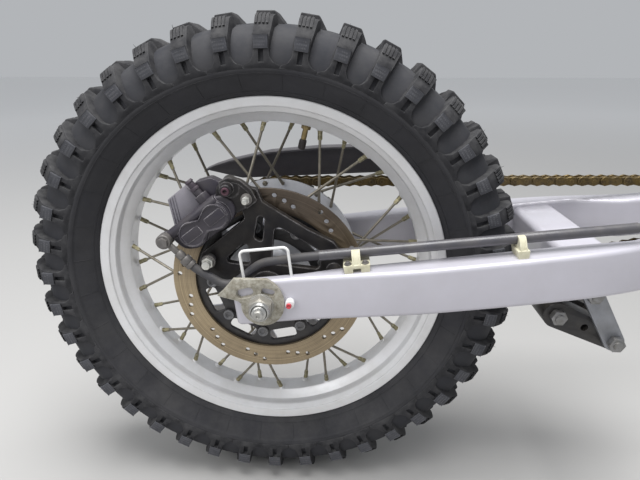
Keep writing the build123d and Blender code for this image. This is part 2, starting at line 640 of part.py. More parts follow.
def brake_disc():
    """Drilled disc ring, its black carrier and the bolts that hold the carrier to the hub."""
    low = DISC_Y - DISC_THICKNESS / 2
    high = DISC_Y + DISC_THICKNESS / 2
    ring = Circle(DISC_R) - Circle(DISC_INNER_R)
    for group in range(DISC_HOLE_GROUPS):
        for share, step in DISC_HOLES:
            x, z = polar(share * DISC_R, DISC_HOLE_PHASE + step + group * 360.0 / DISC_HOLE_GROUPS)
            ring -= Pos(x, z) * Circle(DISC_HOLE_R)
    save(on_axle(side_plate(ring, low, high)), "brake_disc")
    plate = Circle(CARRIER_R) - Circle(CARRIER_INNER_R)
    width = (CARRIER_WINDOW_OUTER - CARRIER_WINDOW_INNER)
    middle_r = (CARRIER_WINDOW_OUTER + CARRIER_WINDOW_INNER) / 2
    bolts = []
    for pair in range(PAIRS):
        at = RIGHT_PHASE + pair * 360.0 / PAIRS
        x, z = polar(CARRIER_HUB_R, at)
        plate -= Pos(x, z) * Circle(CARRIER_BOLT_HOLE_R)
        head = bar_y(CARRIER_BOLT_HEAD_R, high - CARRIER_BOLT_HEAD, high, x, z)
        shank = bar_y(CARRIER_BOLT_HOLE_R - 0.2, high, HUB_RIGHT_FACE + CARRIER_BOLT_GRIP, x, z)
        bolts.append(head + shank)
        wx, wz = polar(middle_r, at + 180.0 / PAIRS)
        length = 2 * middle_r * math.sin(math.radians(CARRIER_WINDOW_HALF_ANGLE)) + width * 0.3
        opening = RectangleRounded(length, width * 0.8, CARRIER_WINDOW_CORNER_R)
        plate -= Pos(wx, wz) * Rot(0, 0, -(at + 180.0 / PAIRS)) * opening
    save(on_axle(side_plate(plate, high, HUB_RIGHT_FACE)), "disc_carrier")
    save(on_axle(Compound(bolts)), "carrier_bolts")


def sprocket():
    """Toothed ring on the cush drum, with its bolts."""
    seat = sprocket_seat()
    tooth = 360.0 / SPROCKET_TEETH
    face = Circle(SPROCKET_TIP_R) - Circle(SPROCKET_INNER_R)
    for n in range(SPROCKET_TEETH):
        x, z = polar(SPROCKET_PITCH_R, (n + 0.5) * tooth)
        face -= Pos(x, z) * Circle(CHAIN_ROLLER_R + 0.15)
        fx, fz = polar(SPROCKET_TIP_R + 1.5, (n + 0.5) * tooth)
        face -= Pos(fx, fz) * Rot(0, 0, -(n + 0.5) * tooth) * Trapezoid(14, 8, 70, rotation=180)
    holes = []
    for n in range(SPROCKET_BOLTS):
        x, z = polar(SPROCKET_BOLT_CIRCLE_R, n * 360.0 / SPROCKET_BOLTS)
        face -= Pos(x, z) * Circle(SPROCKET_BOLT_R + 0.2)
        x2, z2 = polar(80.0, (n + 0.5) * 360.0 / SPROCKET_BOLTS)
        face -= Pos(x2, z2) * Rot(0, 0, -(n + 0.5) * 360.0 / SPROCKET_BOLTS) * RectangleRounded(44, 14, 6.5)
        holes.append((x, z))
    save(on_axle(side_plate(face, seat, seat + SPROCKET_THICKNESS)), "sprocket")
    drum = turned([(BEARING_R + 8, HUB_LEFT_FACE), (CUSH_DRUM_R, HUB_LEFT_FACE), (CUSH_DRUM_R, seat - 6),
                   (CUSH_DRUM_R - 3, seat), (SPROCKET_INNER_R, seat), (SPROCKET_INNER_R - 4, seat - 8),
                   (BEARING_R + 8, seat - 8), (BEARING_R + 8, seat), (BEARING_R, seat),
                   (BEARING_R, seat - BEARING_WIDTH), (HUB_BORE_R, seat - BEARING_WIDTH), (HUB_BORE_R, HUB_LEFT_FACE)])
    bolts = []
    for x, z in holes:
        drum -= bar_y(SPROCKET_BOLT_R + 0.2, seat - 16, seat + 1, x, z)
        shank = bar_y(SPROCKET_BOLT_R, seat - 15, seat + SPROCKET_THICKNESS, x, z)
        head = bar_y(SPROCKET_BOLT_HEAD_R, seat + SPROCKET_THICKNESS, seat + SPROCKET_THICKNESS + SPROCKET_BOLT_HEAD,
                     x, z)
        bolts.append(shank + head)
    save(on_axle(drum), "cush_drum")
    save(on_axle(Compound(bolts)), "sprocket_bolts")


# Chain and its guards
def chain_loop(offset):
    """The line of the chain moved outwards by an offset, as a closed flat face."""
    around_wheel = Pos(-ARM_LENGTH, 0) * Circle(SPROCKET_PITCH_R + offset)
    around_nose = Circle(NOSE_R + offset)
    return make_hull([*around_wheel.edges(), *around_nose.edges()])


def chain_pins():
    """X and Z of every pin in the arm's frame, from the wheel's top forward round the loop."""
    lean = math.asin((SPROCKET_PITCH_R - NOSE_R) / ARM_LENGTH)
    straight = ARM_LENGTH * math.cos(lean)
    wheel = (-ARM_LENGTH, SPROCKET_PITCH_R, math.pi + 2 * lean)
    nose = (0.0, NOSE_R, math.pi - 2 * lean)
    total = 2 * straight + wheel[1] * wheel[2] + nose[1] * nose[2]
    count = 2 * round(total / CHAIN_PITCH / 2)
    valley = math.radians(180.0 / SPROCKET_TEETH + ARM_TILT) - lean
    start = SPROCKET_PITCH_R * math.remainder(valley, math.tau / SPROCKET_TEETH)
    pins = []
    for number in range(count):
        run = (start + number * total / count) % total
        for middle, radius, arc, first in ((*nose, lean), (*wheel, math.pi - lean)):
            if run < straight:
                turn, ahead = first, run - straight
                break
            run -= straight
            if run < arc * radius:
                turn, ahead = first + run / radius, 0.0
                break
            run -= arc * radius
        x = middle + radius * math.sin(turn) + ahead * math.cos(turn)
        pins.append((x, radius * math.cos(turn) - ahead * math.sin(turn)))
    return pins


def chain():
    """Endless chain round the sprocket and the nose of the left arm, its outer plates standing proud."""
    core_y = CHAIN_HALF_WIDTH - CHAIN_PLATE_THICKNESS
    band = chain_loop(CHAIN_CORE_HALF) - chain_loop(-CHAIN_CORE_HALF)
    body = side_plate(band, CHAIN_Y - core_y, CHAIN_Y + core_y)
    half = CHAIN_PLATE_HALF
    end = half * CHAIN_PLATE_END
    top = [(-end, half), (CHAIN_PITCH / 2, half * CHAIN_PLATE_WAIST), (CHAIN_PITCH + end, half)]
    link = outline([*top, *[(x, -z) for x, z in reversed(top)]])
    pins = chain_pins()
    plates = []
    for (x, z), (ahead_x, ahead_z) in zip(pins[::2], pins[1::2]):
        lean = math.degrees(math.atan2(ahead_z - z, ahead_x - x))
        for low in (-CHAIN_HALF_WIDTH, core_y):
            plates.append(side_plate(Pos(x, z) * Rot(0, 0, lean) * link, CHAIN_Y + low,
                                     CHAIN_Y + low + CHAIN_PLATE_THICKNESS))
    body += plates
    half = SPROCKET_THICKNESS / 2 + CHAIN_TOOTH_GAP
    body -= bar_y(SPROCKET_TIP_R + 1.5, CHAIN_Y - half, CHAIN_Y + half, -ARM_LENGTH, 0)
    save(on_arm(body), "chain")


def chain_slider():
    """Rubbing strip round the nose of the left arm, under the chain."""
    inner = PIVOT_BOSS_R + 0.1
    outer = NOSE_R - CHAIN_PLATE_HALF - SEAT_GAP
    strip = Circle(outer) - Circle(inner)
    strip -= Pos(-outer - 9, 0) * Rectangle(2 * outer, 3 * outer)
    save(on_arm(side_plate(strip, PIVOT_INNER + 3, PIVOT_OUTER - 2)), "chain_slider")


def chain_guard():
    """Guard plate above the top run, on two legs that stand on the left arm."""
    top = sized(GUARD_TOP, GUARD_FRONT)
    bottom = sized(GUARD_BOTTOM, GUARD_FRONT)
    plate = outline([*top, *bottom])
    body = side_plate(plate, GUARD_Y, GUARD_Y + GUARD_THICKNESS)
    upper = [(x, z) for x, z in top[1:]]
    lower = [(x, z - GUARD_THICKNESS) for x, z in reversed(upper)]
    body += side_plate(outline([*upper, *lower]), GUARD_Y - GUARD_LIP, GUARD_Y + GUARD_THICKNESS)
    slope = math.tan(math.radians(ARM_TILT))
    rise = ARM_HEIGHT / 2 / math.cos(math.radians(ARM_TILT))
    head = GUARD_FRONT * (GUARD_BOTTOM[0][1] + GUARD_TOP[0][1]) / 2
    for share in GUARD_LEGS:
        back, front = share * GUARD_FRONT - GUARD_LEG_HALF, share * GUARD_FRONT + GUARD_LEG_HALF
        leg = outline([(back, head), (back, back * slope + rise), (front, front * slope + rise), (front, head)])
        body += side_plate(leg, GUARD_Y, GUARD_Y + GUARD_THICKNESS)
    save(on_axle(body), "chain_guard")


# Brake
def on_caliper(shape):
    """Turn a shape drawn straight above the axle to the caliper's place."""
    return on_axle(Rot(0, -CALIPER_ANGLE, 0) * shape)


def caliper():
    """Two-piston caliper that straddles the disc, with its pads and bleeder."""
    disc_low = DISC_Y - DISC_THICKNESS / 2
    disc_high = DISC_Y + DISC_THICKNESS / 2
    outer_face = disc_low - DISC_GAP - PAD_THICKNESS
    inner_face = disc_high + DISC_GAP + PAD_THICKNESS
    body = side_plate(outline(sized(CALIPER_BODY, CALIPER_OUTER_R), CALIPER_CORNER_R), CALIPER_OUTSIDE_Y, outer_face)
    tube_y = CALIPER_OUTSIDE_Y + CALIPER_TUBE_SINK
    tube_rear = BANJO_LUG[0] + BANJO_EYE_R + 0.5
    body += bar_between(Vector(tube_rear, tube_y, CALIPER_TUBE), Vector(CALIPER_BRIDGE_HALF, tube_y, CALIPER_TUBE),
                        CALIPER_TUBE_R)
    figure = Circle(0.1)
    for across in PISTON_PLACES:
        body += bar_y(PISTON_CUP_R + 3, CALIPER_OUTSIDE_Y - PISTON_CAP / 2, outer_face, across, PISTON_R)
        figure += Pos(across, PISTON_R) * Circle(PISTON_CUP_R)
    figure += Pos(sum(PISTON_PLACES) / 2, PISTON_R) * Rectangle(PISTON_CUP_R, PISTON_CUP_R)
    figure -= Circle(0.2)
    body += side_plate(figure, CALIPER_OUTSIDE_Y - PISTON_CAP, CALIPER_OUTSIDE_Y)
    for across in PISTON_PLACES:
        face = CALIPER_OUTSIDE_Y - PISTON_CAP
        body -= bar_y(PISTON_CUP_R - PISTON_CAP_LIP, face, face + PISTON_CAP_LIP, across, PISTON_R)
        cross = Pos(across, PISTON_R) * Rectangle(2 * (PISTON_CUP_R - PISTON_CAP_LIP), PISTON_CUP_R * 0.75)
        body += side_plate(cross, face + PISTON_CAP_LIP / 3, face + PISTON_CAP_LIP)
    ears = Circle(0.1)
    lower_root = (-CALIPER_BRIDGE_HALF * 0.8, CALIPER_INNER_R + 12)
    upper_root = (CALIPER_HALF - 6, PISTON_R)
    for pin, root in ((CALIPER_LOWER_PIN, lower_root), (CALIPER_UPPER_PIN, upper_root)):
        ears += make_hull([*(Pos(*pin) * Circle(CALIPER_EAR_R)).edges(), *(Pos(*root) * Circle(16)).edges()])
    body += side_plate(ears - Circle(0.2), CALIPER_OUTSIDE_Y, CALIPER_OUTSIDE_Y + CALIPER_EAR)
    crest = Pos(*CALIPER_HUMP) * Circle(CALIPER_HUMP_R)
    hump = make_hull([*crest.edges(), *(Pos(*upper_root) * Circle(16)).edges()])
    body += side_plate(hump, CALIPER_OUTSIDE_Y, BRACKET_OUTER_Y - 1.0)
    for pin in (CALIPER_LOWER_PIN, CALIPER_UPPER_PIN):
        clear = CALIPER_OUTSIDE_Y + CALIPER_EAR if pin is CALIPER_LOWER_PIN else outer_face
        body -= bar_y(SLIDE_PIN_R + RUNNING_GAP, CALIPER_OUTSIDE_Y - 1, clear + 1, *pin)
        body -= bar_y(SLIDE_BOOT_R + RUNNING_GAP, CALIPER_OUTSIDE_Y + CALIPER_EAR, outer_face + 1, *pin)
    body += bar_y(BANJO_LUG_R, CALIPER_OUTSIDE_Y, CALIPER_OUTSIDE_Y + BANJO_LUG_DEPTH, *BANJO_LUG)
    body -= bar_y(BANJO_BOLT_R + RUNNING_GAP, CALIPER_OUTSIDE_Y - 9, CALIPER_OUTSIDE_Y + BANJO_BOLT_DEPTH, *BANJO_LUG)
    bridge = outline([(-CALIPER_BRIDGE_HALF, CALIPER_BRIDGE_INNER_R), (CALIPER_BRIDGE_HALF, CALIPER_BRIDGE_INNER_R),
                      (CALIPER_BRIDGE_HALF, CALIPER_OUTER_R), (-CALIPER_BRIDGE_HALF, CALIPER_OUTER_R)])
    body += side_plate(bridge, outer_face, CALIPER_INSIDE_Y)
    inner = outline([(-CALIPER_BRIDGE_HALF, CALIPER_INNER_R + 8), (CALIPER_BRIDGE_HALF, CALIPER_INNER_R + 8),
                     (CALIPER_BRIDGE_HALF, CALIPER_OUTER_R), (-CALIPER_BRIDGE_HALF, CALIPER_OUTER_R)])
    body += side_plate(inner, inner_face, CALIPER_INSIDE_Y)
    block = outline(sized(CALIPER_BLOCK, CALIPER_OUTER_R))
    body += side_plate(block, CALIPER_BLOCK_Y, CALIPER_INSIDE_Y)
    save(on_caliper(body), "caliper_body")
    foot = CALIPER_INNER_R + 6
    pad = outline([(-PAD_HALF, foot), (PAD_HALF, foot), (PAD_HALF, DISC_R), (-PAD_HALF, DISC_R)])
    inner_foot = CARRIER_R + MOVING_GAP
    inner_half = CALIPER_BRIDGE_HALF - 1
    inner_pad = outline([(-inner_half, inner_foot), (inner_half, inner_foot), (inner_half, DISC_R),
                         (-inner_half, DISC_R)])
    pads = [side_plate(pad, outer_face, disc_low - DISC_GAP), side_plate(inner_pad, disc_high + DISC_GAP, inner_face)]
    save(on_caliper(Compound(pads)), "brake_pads")
    across, y, seat = BLEEDER_SEAT
    save(on_caliper(bar_between(Vector(across, y, seat), Vector(across, y, seat + BLEEDER_LENGTH), BLEEDER_R)),
         "bleeder")


def caliper_point(u, r):
    """X and Z about the axle of a point drawn for the caliper."""
    turn = math.radians(CALIPER_ANGLE)
    return u * math.cos(turn) - r * math.sin(turn), u * math.sin(turn) + r * math.cos(turn)


def pin_places():
    """X and Z of both slide pins about the axle."""
    return [caliper_point(*CALIPER_LOWER_PIN), caliper_point(*CALIPER_UPPER_PIN)]


def caliper_bracket():
    """Cast bracket on the axle that carries the caliper and rests against the arm."""
    shape = outline(sized(BRACKET_OUTLINE, BRACKET_REACH), BRACKET_CORNER_R)
    for window, corner in BRACKET_WINDOWS:
        shape -= outline(sized(window, BRACKET_REACH), corner * BRACKET_REACH)
    body = side_plate(shape, BRACKET_OUTER_Y, BRACKET_INNER_Y)
    body += bar_y(BRACKET_BOSS_R, -ARM_TAIL_INNER, BRACKET_INNER_Y)
    body -= bar_y(AXLE_R + RUNNING_GAP, -ARM_TAIL_INNER - 1, BRACKET_INNER_Y + 1)
    for x, z in pin_places():
        body -= bar_y(SLIDE_PIN_R + RUNNING_GAP, BRACKET_OUTER_Y - 1, BRACKET_INNER_Y + 1, x, z)
    body += bar_y(BRACKET_TOE_R, BRACKET_TOE_Y, BRACKET_OUTER_Y, *BRACKET_TOE)
    save(on_axle(body), "caliper_bracket")
    pins = []
    for x, z in pin_places():
        pin = bar_y(SLIDE_PIN_R, CALIPER_OUTSIDE_Y - 4, BRACKET_INNER_Y, x, z)
        pin += bar_y(SLIDE_PIN_R + 0.7, CALIPER_OUTSIDE_Y - 4, CALIPER_OUTSIDE_Y, x, z)
        pin += bar_y(SLIDE_BOOT_R, CALIPER_OUTSIDE_Y + CALIPER_EAR, BRACKET_OUTER_Y, x, z)
        pins.append(pin)
    save(on_axle(Compound(pins)), "slide_pins")


def brake_line():
    """Hose from the caliper round the tail and forward inside its guard pipe."""
    pipe_back = arm_point(GUARD_PIPE_BACK, GUARD_PIPE_Y, GUARD_PIPE_HEIGHT)
    pipe_front = arm_point(GUARD_PIPE_FRONT, GUARD_PIPE_Y, GUARD_PIPE_HEIGHT)
    hose_end = arm_point(HOSE_END, GUARD_PIPE_Y, GUARD_PIPE_HEIGHT)
    lug_x, lug_z = caliper_point(*BANJO_LUG)
    eye = axle_point(lug_x, HOSE_Y, lug_z)
    bends = [axle_point(x, HOSE_Y, z) for x, z in sized(HOSE_ROUTE, HOSE_REACH)]
    first_bend = bends[0]
    heading = (eye - first_bend).normalized()
    start = eye - heading * (BANJO_NECK + CRIMP_LENGTH)
    route = [start, *bends, pipe_back, hose_end]
    path = FilletPolyline(*route, radius=[share * HOSE_REACH for share in HOSE_BENDS])
    section = Plane(origin=path @ 0, z_dir=path % 0) * Circle(HOSE_R)
    save(sweep(section, path), "brake_hose")
    setback = (pipe_front - pipe_back).normalized() * GUARD_PIPE_SETBACK
    pipe = bar_between(pipe_back + setback, pipe_front, GUARD_PIPE_R)
    pipe -= bar_between(pipe_back, hose_end, HOSE_R + RUNNING_GAP)
    save(pipe, "hose_guard_pipe")
    crimp = bar_between(start, start + heading * CRIMP_LENGTH, CRIMP_R)
    crimp += bar_between(start, eye, BANJO_NECK_R)
    crimp += bar_y(BANJO_EYE_R, 2 * eye.Y - CALIPER_OUTSIDE_Y, CALIPER_OUTSIDE_Y, eye.X, eye.Z)
    crimp += bar_y(BANJO_BOLT_R, eye.Y, CALIPER_OUTSIDE_Y + BANJO_BOLT_DEPTH - 2, eye.X, eye.Z)
    head = 2 * eye.Y - CALIPER_OUTSIDE_Y
    crimp += Pos(eye.X, 0, eye.Z) * hexagon_y(BANJO_ACROSS, head - BANJO_HEAD, head)
    forward = (hose_end - pipe_back).normalized()
    end_crimp = bar_between(hose_end, hose_end + forward * CRIMP_LENGTH, CRIMP_R)
    save(Compound([crimp, end_crimp]), "hose_fittings")


def hose_clips():
    """Moulded clips that stand on the right arm and hold the guard pipe."""
    clips = []
    top = ARM_HEIGHT / 2
    crest = GUARD_PIPE_HEIGHT + CLIP_WIDTH / 2
    for along, share in CLIP_PLACES:
        x, length = -along * ARM_LENGTH, share * CLIP_LENGTH
        foot = Box(length, CLIP_WIDTH + 2 * CLIP_FOOT, CLIP_FOOT)
        foot = Pos(x, GUARD_PIPE_Y - CLIP_FOOT, top + CLIP_FOOT / 2) * foot
        post = Pos(x, GUARD_PIPE_Y, (top + crest) / 2) * Box(length, CLIP_WIDTH, crest - top)
        tube = Cylinder(GUARD_PIPE_R + RUNNING_GAP, 2 * CLIP_LENGTH)
        bore = Pos(x, GUARD_PIPE_Y, GUARD_PIPE_HEIGHT) * Rot(0, 90, 0) * tube
        clips.append(on_arm(foot + post - bore))
    save(Compound(clips), "hose_clips")


def tail_hoop():
    """Wire hoop that stands on the tail of the right arm."""
    top = ARM_HEIGHT / 2
    route = [(HOOP_BACK, HOOP_Y, top), (HOOP_BACK, HOOP_Y, top + HOOP_RISE), (HOOP_FRONT, HOOP_Y, top + HOOP_RISE),
             (HOOP_FRONT, HOOP_Y, top)]
    path = FilletPolyline(*route, radius=6.0)
    section = Plane(origin=path @ 0, z_dir=path % 0) * Circle(HOOP_WIRE_R)
    save(on_arm(sweep(section, path)), "tail_hoop")


# Linkage
def linkage():
    """Link rods hung from the bridge, the rocker at their lower end and the bolts."""
    ux, uz = LINK_UPPER
    vx, vz = LINK_LOWER
    wx, wz = ROCKER_BACK
    outer = LINK_HALF
    inner = LINK_HALF - LINK_THICKNESS
    rod = make_hull([*(Pos(ux, uz) * Circle(LINK_EYE_R)).edges(), *(Pos(vx, vz) * Circle(LINK_EYE_R)).edges()])
    for x, z in (LINK_UPPER, LINK_LOWER):
        rod -= Pos(x, z) * Circle(LINK_BOLT_R + RUNNING_GAP)
    right = side_plate(rod, -outer, -inner)
    save(on_axle(Compound([right, mirror(right, Plane.XZ)])), "link_rods")
    arm = make_hull([*(Pos(wx, wz) * Circle(ROCKER_BACK_R)).edges(), *(Pos(vx, vz) * Circle(ROCKER_FRONT_R)).edges()])
    for x, z in (LINK_LOWER, ROCKER_BACK):
        arm -= Pos(x, z) * Circle(LINK_BOLT_R + RUNNING_GAP)
    arm -= Pos(*SHOCK_EYE) * Circle(SHOCK_BOLT_R)
    lean = math.degrees(math.atan2(vz - wz, vx - wx))
    gap = Pos(*SHOCK_EYE) * Rot(0, 0, lean) * Rectangle(SHOCK_SLOT_LENGTH, 80)
    body = side_plate(arm, -inner, inner) - side_plate(gap, -SHOCK_SLOT_HALF, SHOCK_SLOT_HALF)
    save(on_axle(body), "rocker")
    bolts = []
    for (x, z), reach in ((LINK_UPPER, outer), (LINK_LOWER, outer), (ROCKER_BACK, inner)):
        bolt = bar_y(LINK_BOLT_R, -reach - LINK_BOLT_HEAD - LINK_BOLT_THREAD, reach, x, z)
        bolt += Pos(x, 0, z) * hexagon_y(LINK_BOLT_ACROSS, reach, reach + LINK_BOLT_HEAD)
        bolt += Pos(x, 0, z) * hexagon_y(LINK_BOLT_ACROSS, -reach - LINK_BOLT_HEAD, -reach)
        bolts.append(bolt)
    save(on_axle(Compound(bolts)), "link_bolts")
    foot = axle_point(ux, 0, uz)
    tilt = math.radians(ARM_TILT)
    along = foot.X * math.cos(tilt) + foot.Z * math.sin(tilt)
    down = -foot.X * math.sin(tilt) + foot.Z * math.cos(tilt)
    under = -BRIDGE_HEIGHT / 2
    foot_half = LINK_EYE_R + LUG_FLARE
    lug = outline([(along - foot_half, under), (along + foot_half, under), (along + LINK_EYE_R, down),
                   (along - LINK_EYE_R, down)])
    lug += Pos(along, down) * Circle(LINK_EYE_R)
    lug -= Pos(along, down) * Circle(LINK_BOLT_R + RUNNING_GAP)
    lug &= Pos(along, under - BRIDGE_DEPTH) * Rectangle(2 * BRIDGE_DEPTH, 2 * BRIDGE_DEPTH)
    save(on_arm(side_plate(lug, -inner, inner)), "link_lug")


if __name__ == "__main__":
    swingarm()
    snail_cams()
    stop_pins()
    axle()
    tyre()
    spokes_and_nipples()
    rim()
    hub()
    valve()
    brake_disc()
    sprocket()
    chain()
    chain_slider()
    chain_guard()
    caliper()
    caliper_bracket()
    brake_line()
    hose_clips()
    tail_hoop()
    linkage()
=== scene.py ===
"""Looks of a motorcycle's rear end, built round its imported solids.

Metres, in the solids' own frame: +X forward, +Y left, +Z up, the origin in the
swingarm's pivot. Sizes are given in millimetres, the arm's, the chain's and the
clips' from that pivot and the others from the axle, as a maker would measure
them, and they are turned into metres where a mesh is placed.
"""
import logging
import math
import random
from dataclasses import dataclass
from enum import Enum
from typing import Callable, Iterable, Optional, Sequence, Union

import bmesh
import bpy
from mathutils import Matrix, Vector


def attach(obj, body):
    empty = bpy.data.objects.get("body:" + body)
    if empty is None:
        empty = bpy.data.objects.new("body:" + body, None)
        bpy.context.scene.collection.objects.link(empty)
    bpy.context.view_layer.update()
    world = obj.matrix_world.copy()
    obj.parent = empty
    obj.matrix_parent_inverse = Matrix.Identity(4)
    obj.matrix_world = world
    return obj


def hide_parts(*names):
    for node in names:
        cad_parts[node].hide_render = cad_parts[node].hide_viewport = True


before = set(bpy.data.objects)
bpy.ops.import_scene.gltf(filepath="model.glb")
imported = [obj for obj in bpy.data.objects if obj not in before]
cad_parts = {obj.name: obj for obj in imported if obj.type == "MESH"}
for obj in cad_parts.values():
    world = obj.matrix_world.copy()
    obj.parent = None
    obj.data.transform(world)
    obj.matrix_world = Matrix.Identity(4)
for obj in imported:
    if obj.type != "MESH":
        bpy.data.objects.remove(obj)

LOG = logging.getLogger("rear_end")
MM = 0.001
AXLE = Vector((-0.556, 0.0, -0.062))
ARM_TILT = math.atan2(62.0, 556.0)
CALIPER_TURN = 38.0
CREASE = 35.0
SOFT_CREASE = 40.0
WHEEL = "wheel"
SWINGARM = "swingarm"
ACROSS = Matrix.Scale(-1.0, 4, (0.0, 1.0, 0.0))
BOTH_SIDES = (Matrix.Identity(4), ACROSS)

Colour = tuple[float, float, float]
Point = tuple[float, float]
Piece = bpy.types.Object
Tree = bpy.types.NodeTree
Socket = bpy.types.NodeSocket
Value = Union[float, Sequence[float], Socket]


def srgb(red: float, green: float, blue: float) -> Colour:
    """Turn a colour read as 0 to 255 into the renderer's linear values.

    Args:
        red: how red it is.
        green: how green it is.
        blue: how blue it is.

    Returns:
        The linear colour.
    """
    def channel(value: float) -> float:
        """Turn one channel."""
        share = value / 255.0
        return share / 12.92 if share <= 0.04045 else ((share + 0.055) / 1.055) ** 2.4
    return channel(red), channel(green), channel(blue)


def at_axle(x: float, y: float, z: float) -> Vector:
    """Place in metres of a point given in millimetres from the axle."""
    return AXLE + Vector((x, y, z)) * MM


def polar(radius: float, degrees: float, y: float = 0.0) -> Vector:
    """Place of a point at a radius from the axle, its angle measured forward from the top."""
    turn = math.radians(degrees)
    return at_axle(radius * math.sin(turn), y, radius * math.cos(turn))


def round_axle(degrees: float) -> Matrix:
    """A turn about the axle, forward from the top."""
    turn = Matrix.Rotation(math.radians(degrees), 4, "Y")
    return Matrix.Translation(AXLE) @ turn @ Matrix.Translation(-AXLE)


def at_caliper() -> Matrix:
    """From a drawing straight above the axle to the caliper's place."""
    return Matrix.Translation(AXLE) @ Matrix.Rotation(math.radians(-CALIPER_TURN), 4, "Y")


def at_arm() -> Matrix:
    """From a drawing along the arm to its place."""
    return Matrix.Rotation(-ARM_TILT, 4, "Y")


# Shader nodes
def add_node(tree: Tree, kind: str, sockets: Optional[dict] = None, **settings: object) -> bpy.types.Node:
    """Add a shader node, set it up and link its inputs.

    Args:
        tree: the tree that gets the node.
        kind: the node's type name without its ShaderNode prefix.
        sockets: input name or number to a value or to another node's output.
        settings: properties of the node.

    Returns:
        The new node.
    """
    node = tree.nodes.new("ShaderNode" + kind)
    for label, value in settings.items():
        setattr(node, label, value)
    for label, value in (sockets or {}).items():
        if isinstance(value, Socket):
            tree.links.new(value, node.inputs[label])
        else:
            node.inputs[label].default_value = value
    return node


def maths(tree: Tree, operation: str, *values: Value, clamp: bool = False) -> Socket:
    """Work something out from values and other nodes' outputs.

    Args:
        tree: the tree that gets the node.
        operation: what is worked out.
        values: what it is worked out from.
        clamp: whether the result is kept between 0 and 1.

    Returns:
        The result.
    """
    return add_node(tree, "Math", dict(enumerate(values)), operation=operation, use_clamp=clamp).outputs[0]


def stretch(tree: Tree, value: Socket, low: float, high: float, to_low: Value = 0.0,
            to_high: Value = 1.0) -> Socket:
    """Map a value from one range to another and hold it there.

    Args:
        tree: the tree that gets the node.
        value: the value.
        low: start of its own range.
        high: end of its own range.
        to_low: what the start becomes.
        to_high: what the end becomes.

    Returns:
        The mapped value.
    """
    return add_node(tree, "MapRange", {"Value": value, "From Min": low, "From Max": high, "To Min": to_low,
                                       "To Max": to_high}).outputs[0]


def blend(tree: Tree, share: Socket, first: Value, second: Value) -> Socket:
    """Mix two colours.

    Args:
        tree: the tree that gets the node.
        share: how much of the second colour shows.
        first: the colour at a share of 0.
        second: the colour at a share of 1.

    Returns:
        The mixed colour.
    """
    return add_node(tree, "Mix", {"Factor": share, 6: first, 7: second}, data_type="RGBA").outputs[2]


def noise(tree: Tree, coords: Socket, scale: Value, detail: float, roughness: float = 0.5) -> Socket:
    """Cloudy noise over a piece.

    Args:
        tree: the tree that gets the node.
        coords: place on the piece.
        scale: how fine the noise is.
        detail: how many finer layers lie over it.
        roughness: how strong the finer layers are.

    Returns:
        The noise, about 0.5 in its middle.
    """
    return add_node(tree, "TexNoise", {"Vector": coords, "Scale": scale, "Detail": detail,
                                       "Roughness": roughness}).outputs["Fac"]


def streaks(tree: Tree, run: Socket, scale: Socket, detail: float) -> Socket:
    """Noise that changes along one run only.

    Args:
        tree: the tree that gets the nodes.
        run: the run, a length or an angle.
        scale: how fine the noise is.
        detail: how many finer layers lie over it.

    Returns:
        The noise.
    """
    place = maths(tree, "MULTIPLY", run, scale)
    return add_node(tree, "TexNoise", {"W": place, "Scale": 1.0, "Detail": detail},
                    noise_dimensions="1D").outputs["Fac"]


class Group:
    """A shader node group under construction, with named inputs and outputs."""

    def __init__(self, name: str, inputs: dict[str, tuple[str, object]], outputs: dict[str, str]) -> None:
        """Open the group.

        Args:
            name: the group's name.
            inputs: socket name to (socket type, default value).
            outputs: socket name to socket type.
        """
        self.tree = bpy.data.node_groups.new(name, "ShaderNodeTree")
        for label, (kind, default) in inputs.items():
            socket = self.tree.interface.new_socket(label, in_out="INPUT", socket_type=kind)
            if default is not None:
                socket.default_value = default
        for label, kind in outputs.items():
            self.tree.interface.new_socket(label, in_out="OUTPUT", socket_type=kind)
        self.given = self.tree.nodes.new("NodeGroupInput").outputs
        self.result = self.tree.nodes.new("NodeGroupOutput").inputs

    def give(self, **outputs: Socket) -> Tree:
        """Send outputs out of the group, each under its own name, and hand over its tree."""
        for label, output in outputs.items():
            self.tree.links.new(output, self.result[label])
        return self.tree


FLOAT, VECTOR, COLOR = "NodeSocketFloat", "NodeSocketVector", "NodeSocketColor"


def mottle_group() -> Tree:
    """Two colours that run into each other in soft patches."""
    group = Group("Mottle", {"Vector": (VECTOR, None), "Base": (COLOR, None), "Patch": (COLOR, None),
                             "Scale": (FLOAT, 20.0), "Share": (FLOAT, 0.5)}, {"Color": COLOR, "Value": FLOAT})
    tree, given = group.tree, group.given
    cloud = noise(tree, given["Vector"], given["Scale"], 6.0, 0.62)
    patch = stretch(tree, cloud, 0.38, 0.66, 0.0, given["Share"])
    return group.give(Color=blend(tree, patch, given["Base"], given["Patch"]), Value=cloud)


def grain_group() -> Tree:
    """Height of a fine cast or moulded grain over a slow unevenness."""
    group = Group("Grain", {"Vector": (VECTOR, None), "Scale": (FLOAT, 900.0)}, {"Height": FLOAT})
    tree, given = group.tree, group.given
    fine = noise(tree, given["Vector"], given["Scale"], 3.0)
    slow = noise(tree, given["Vector"], maths(tree, "MULTIPLY", given["Scale"], 0.08), 2.0)
    return group.give(Height=maths(tree, "MULTIPLY_ADD", slow, 1.5, fine))


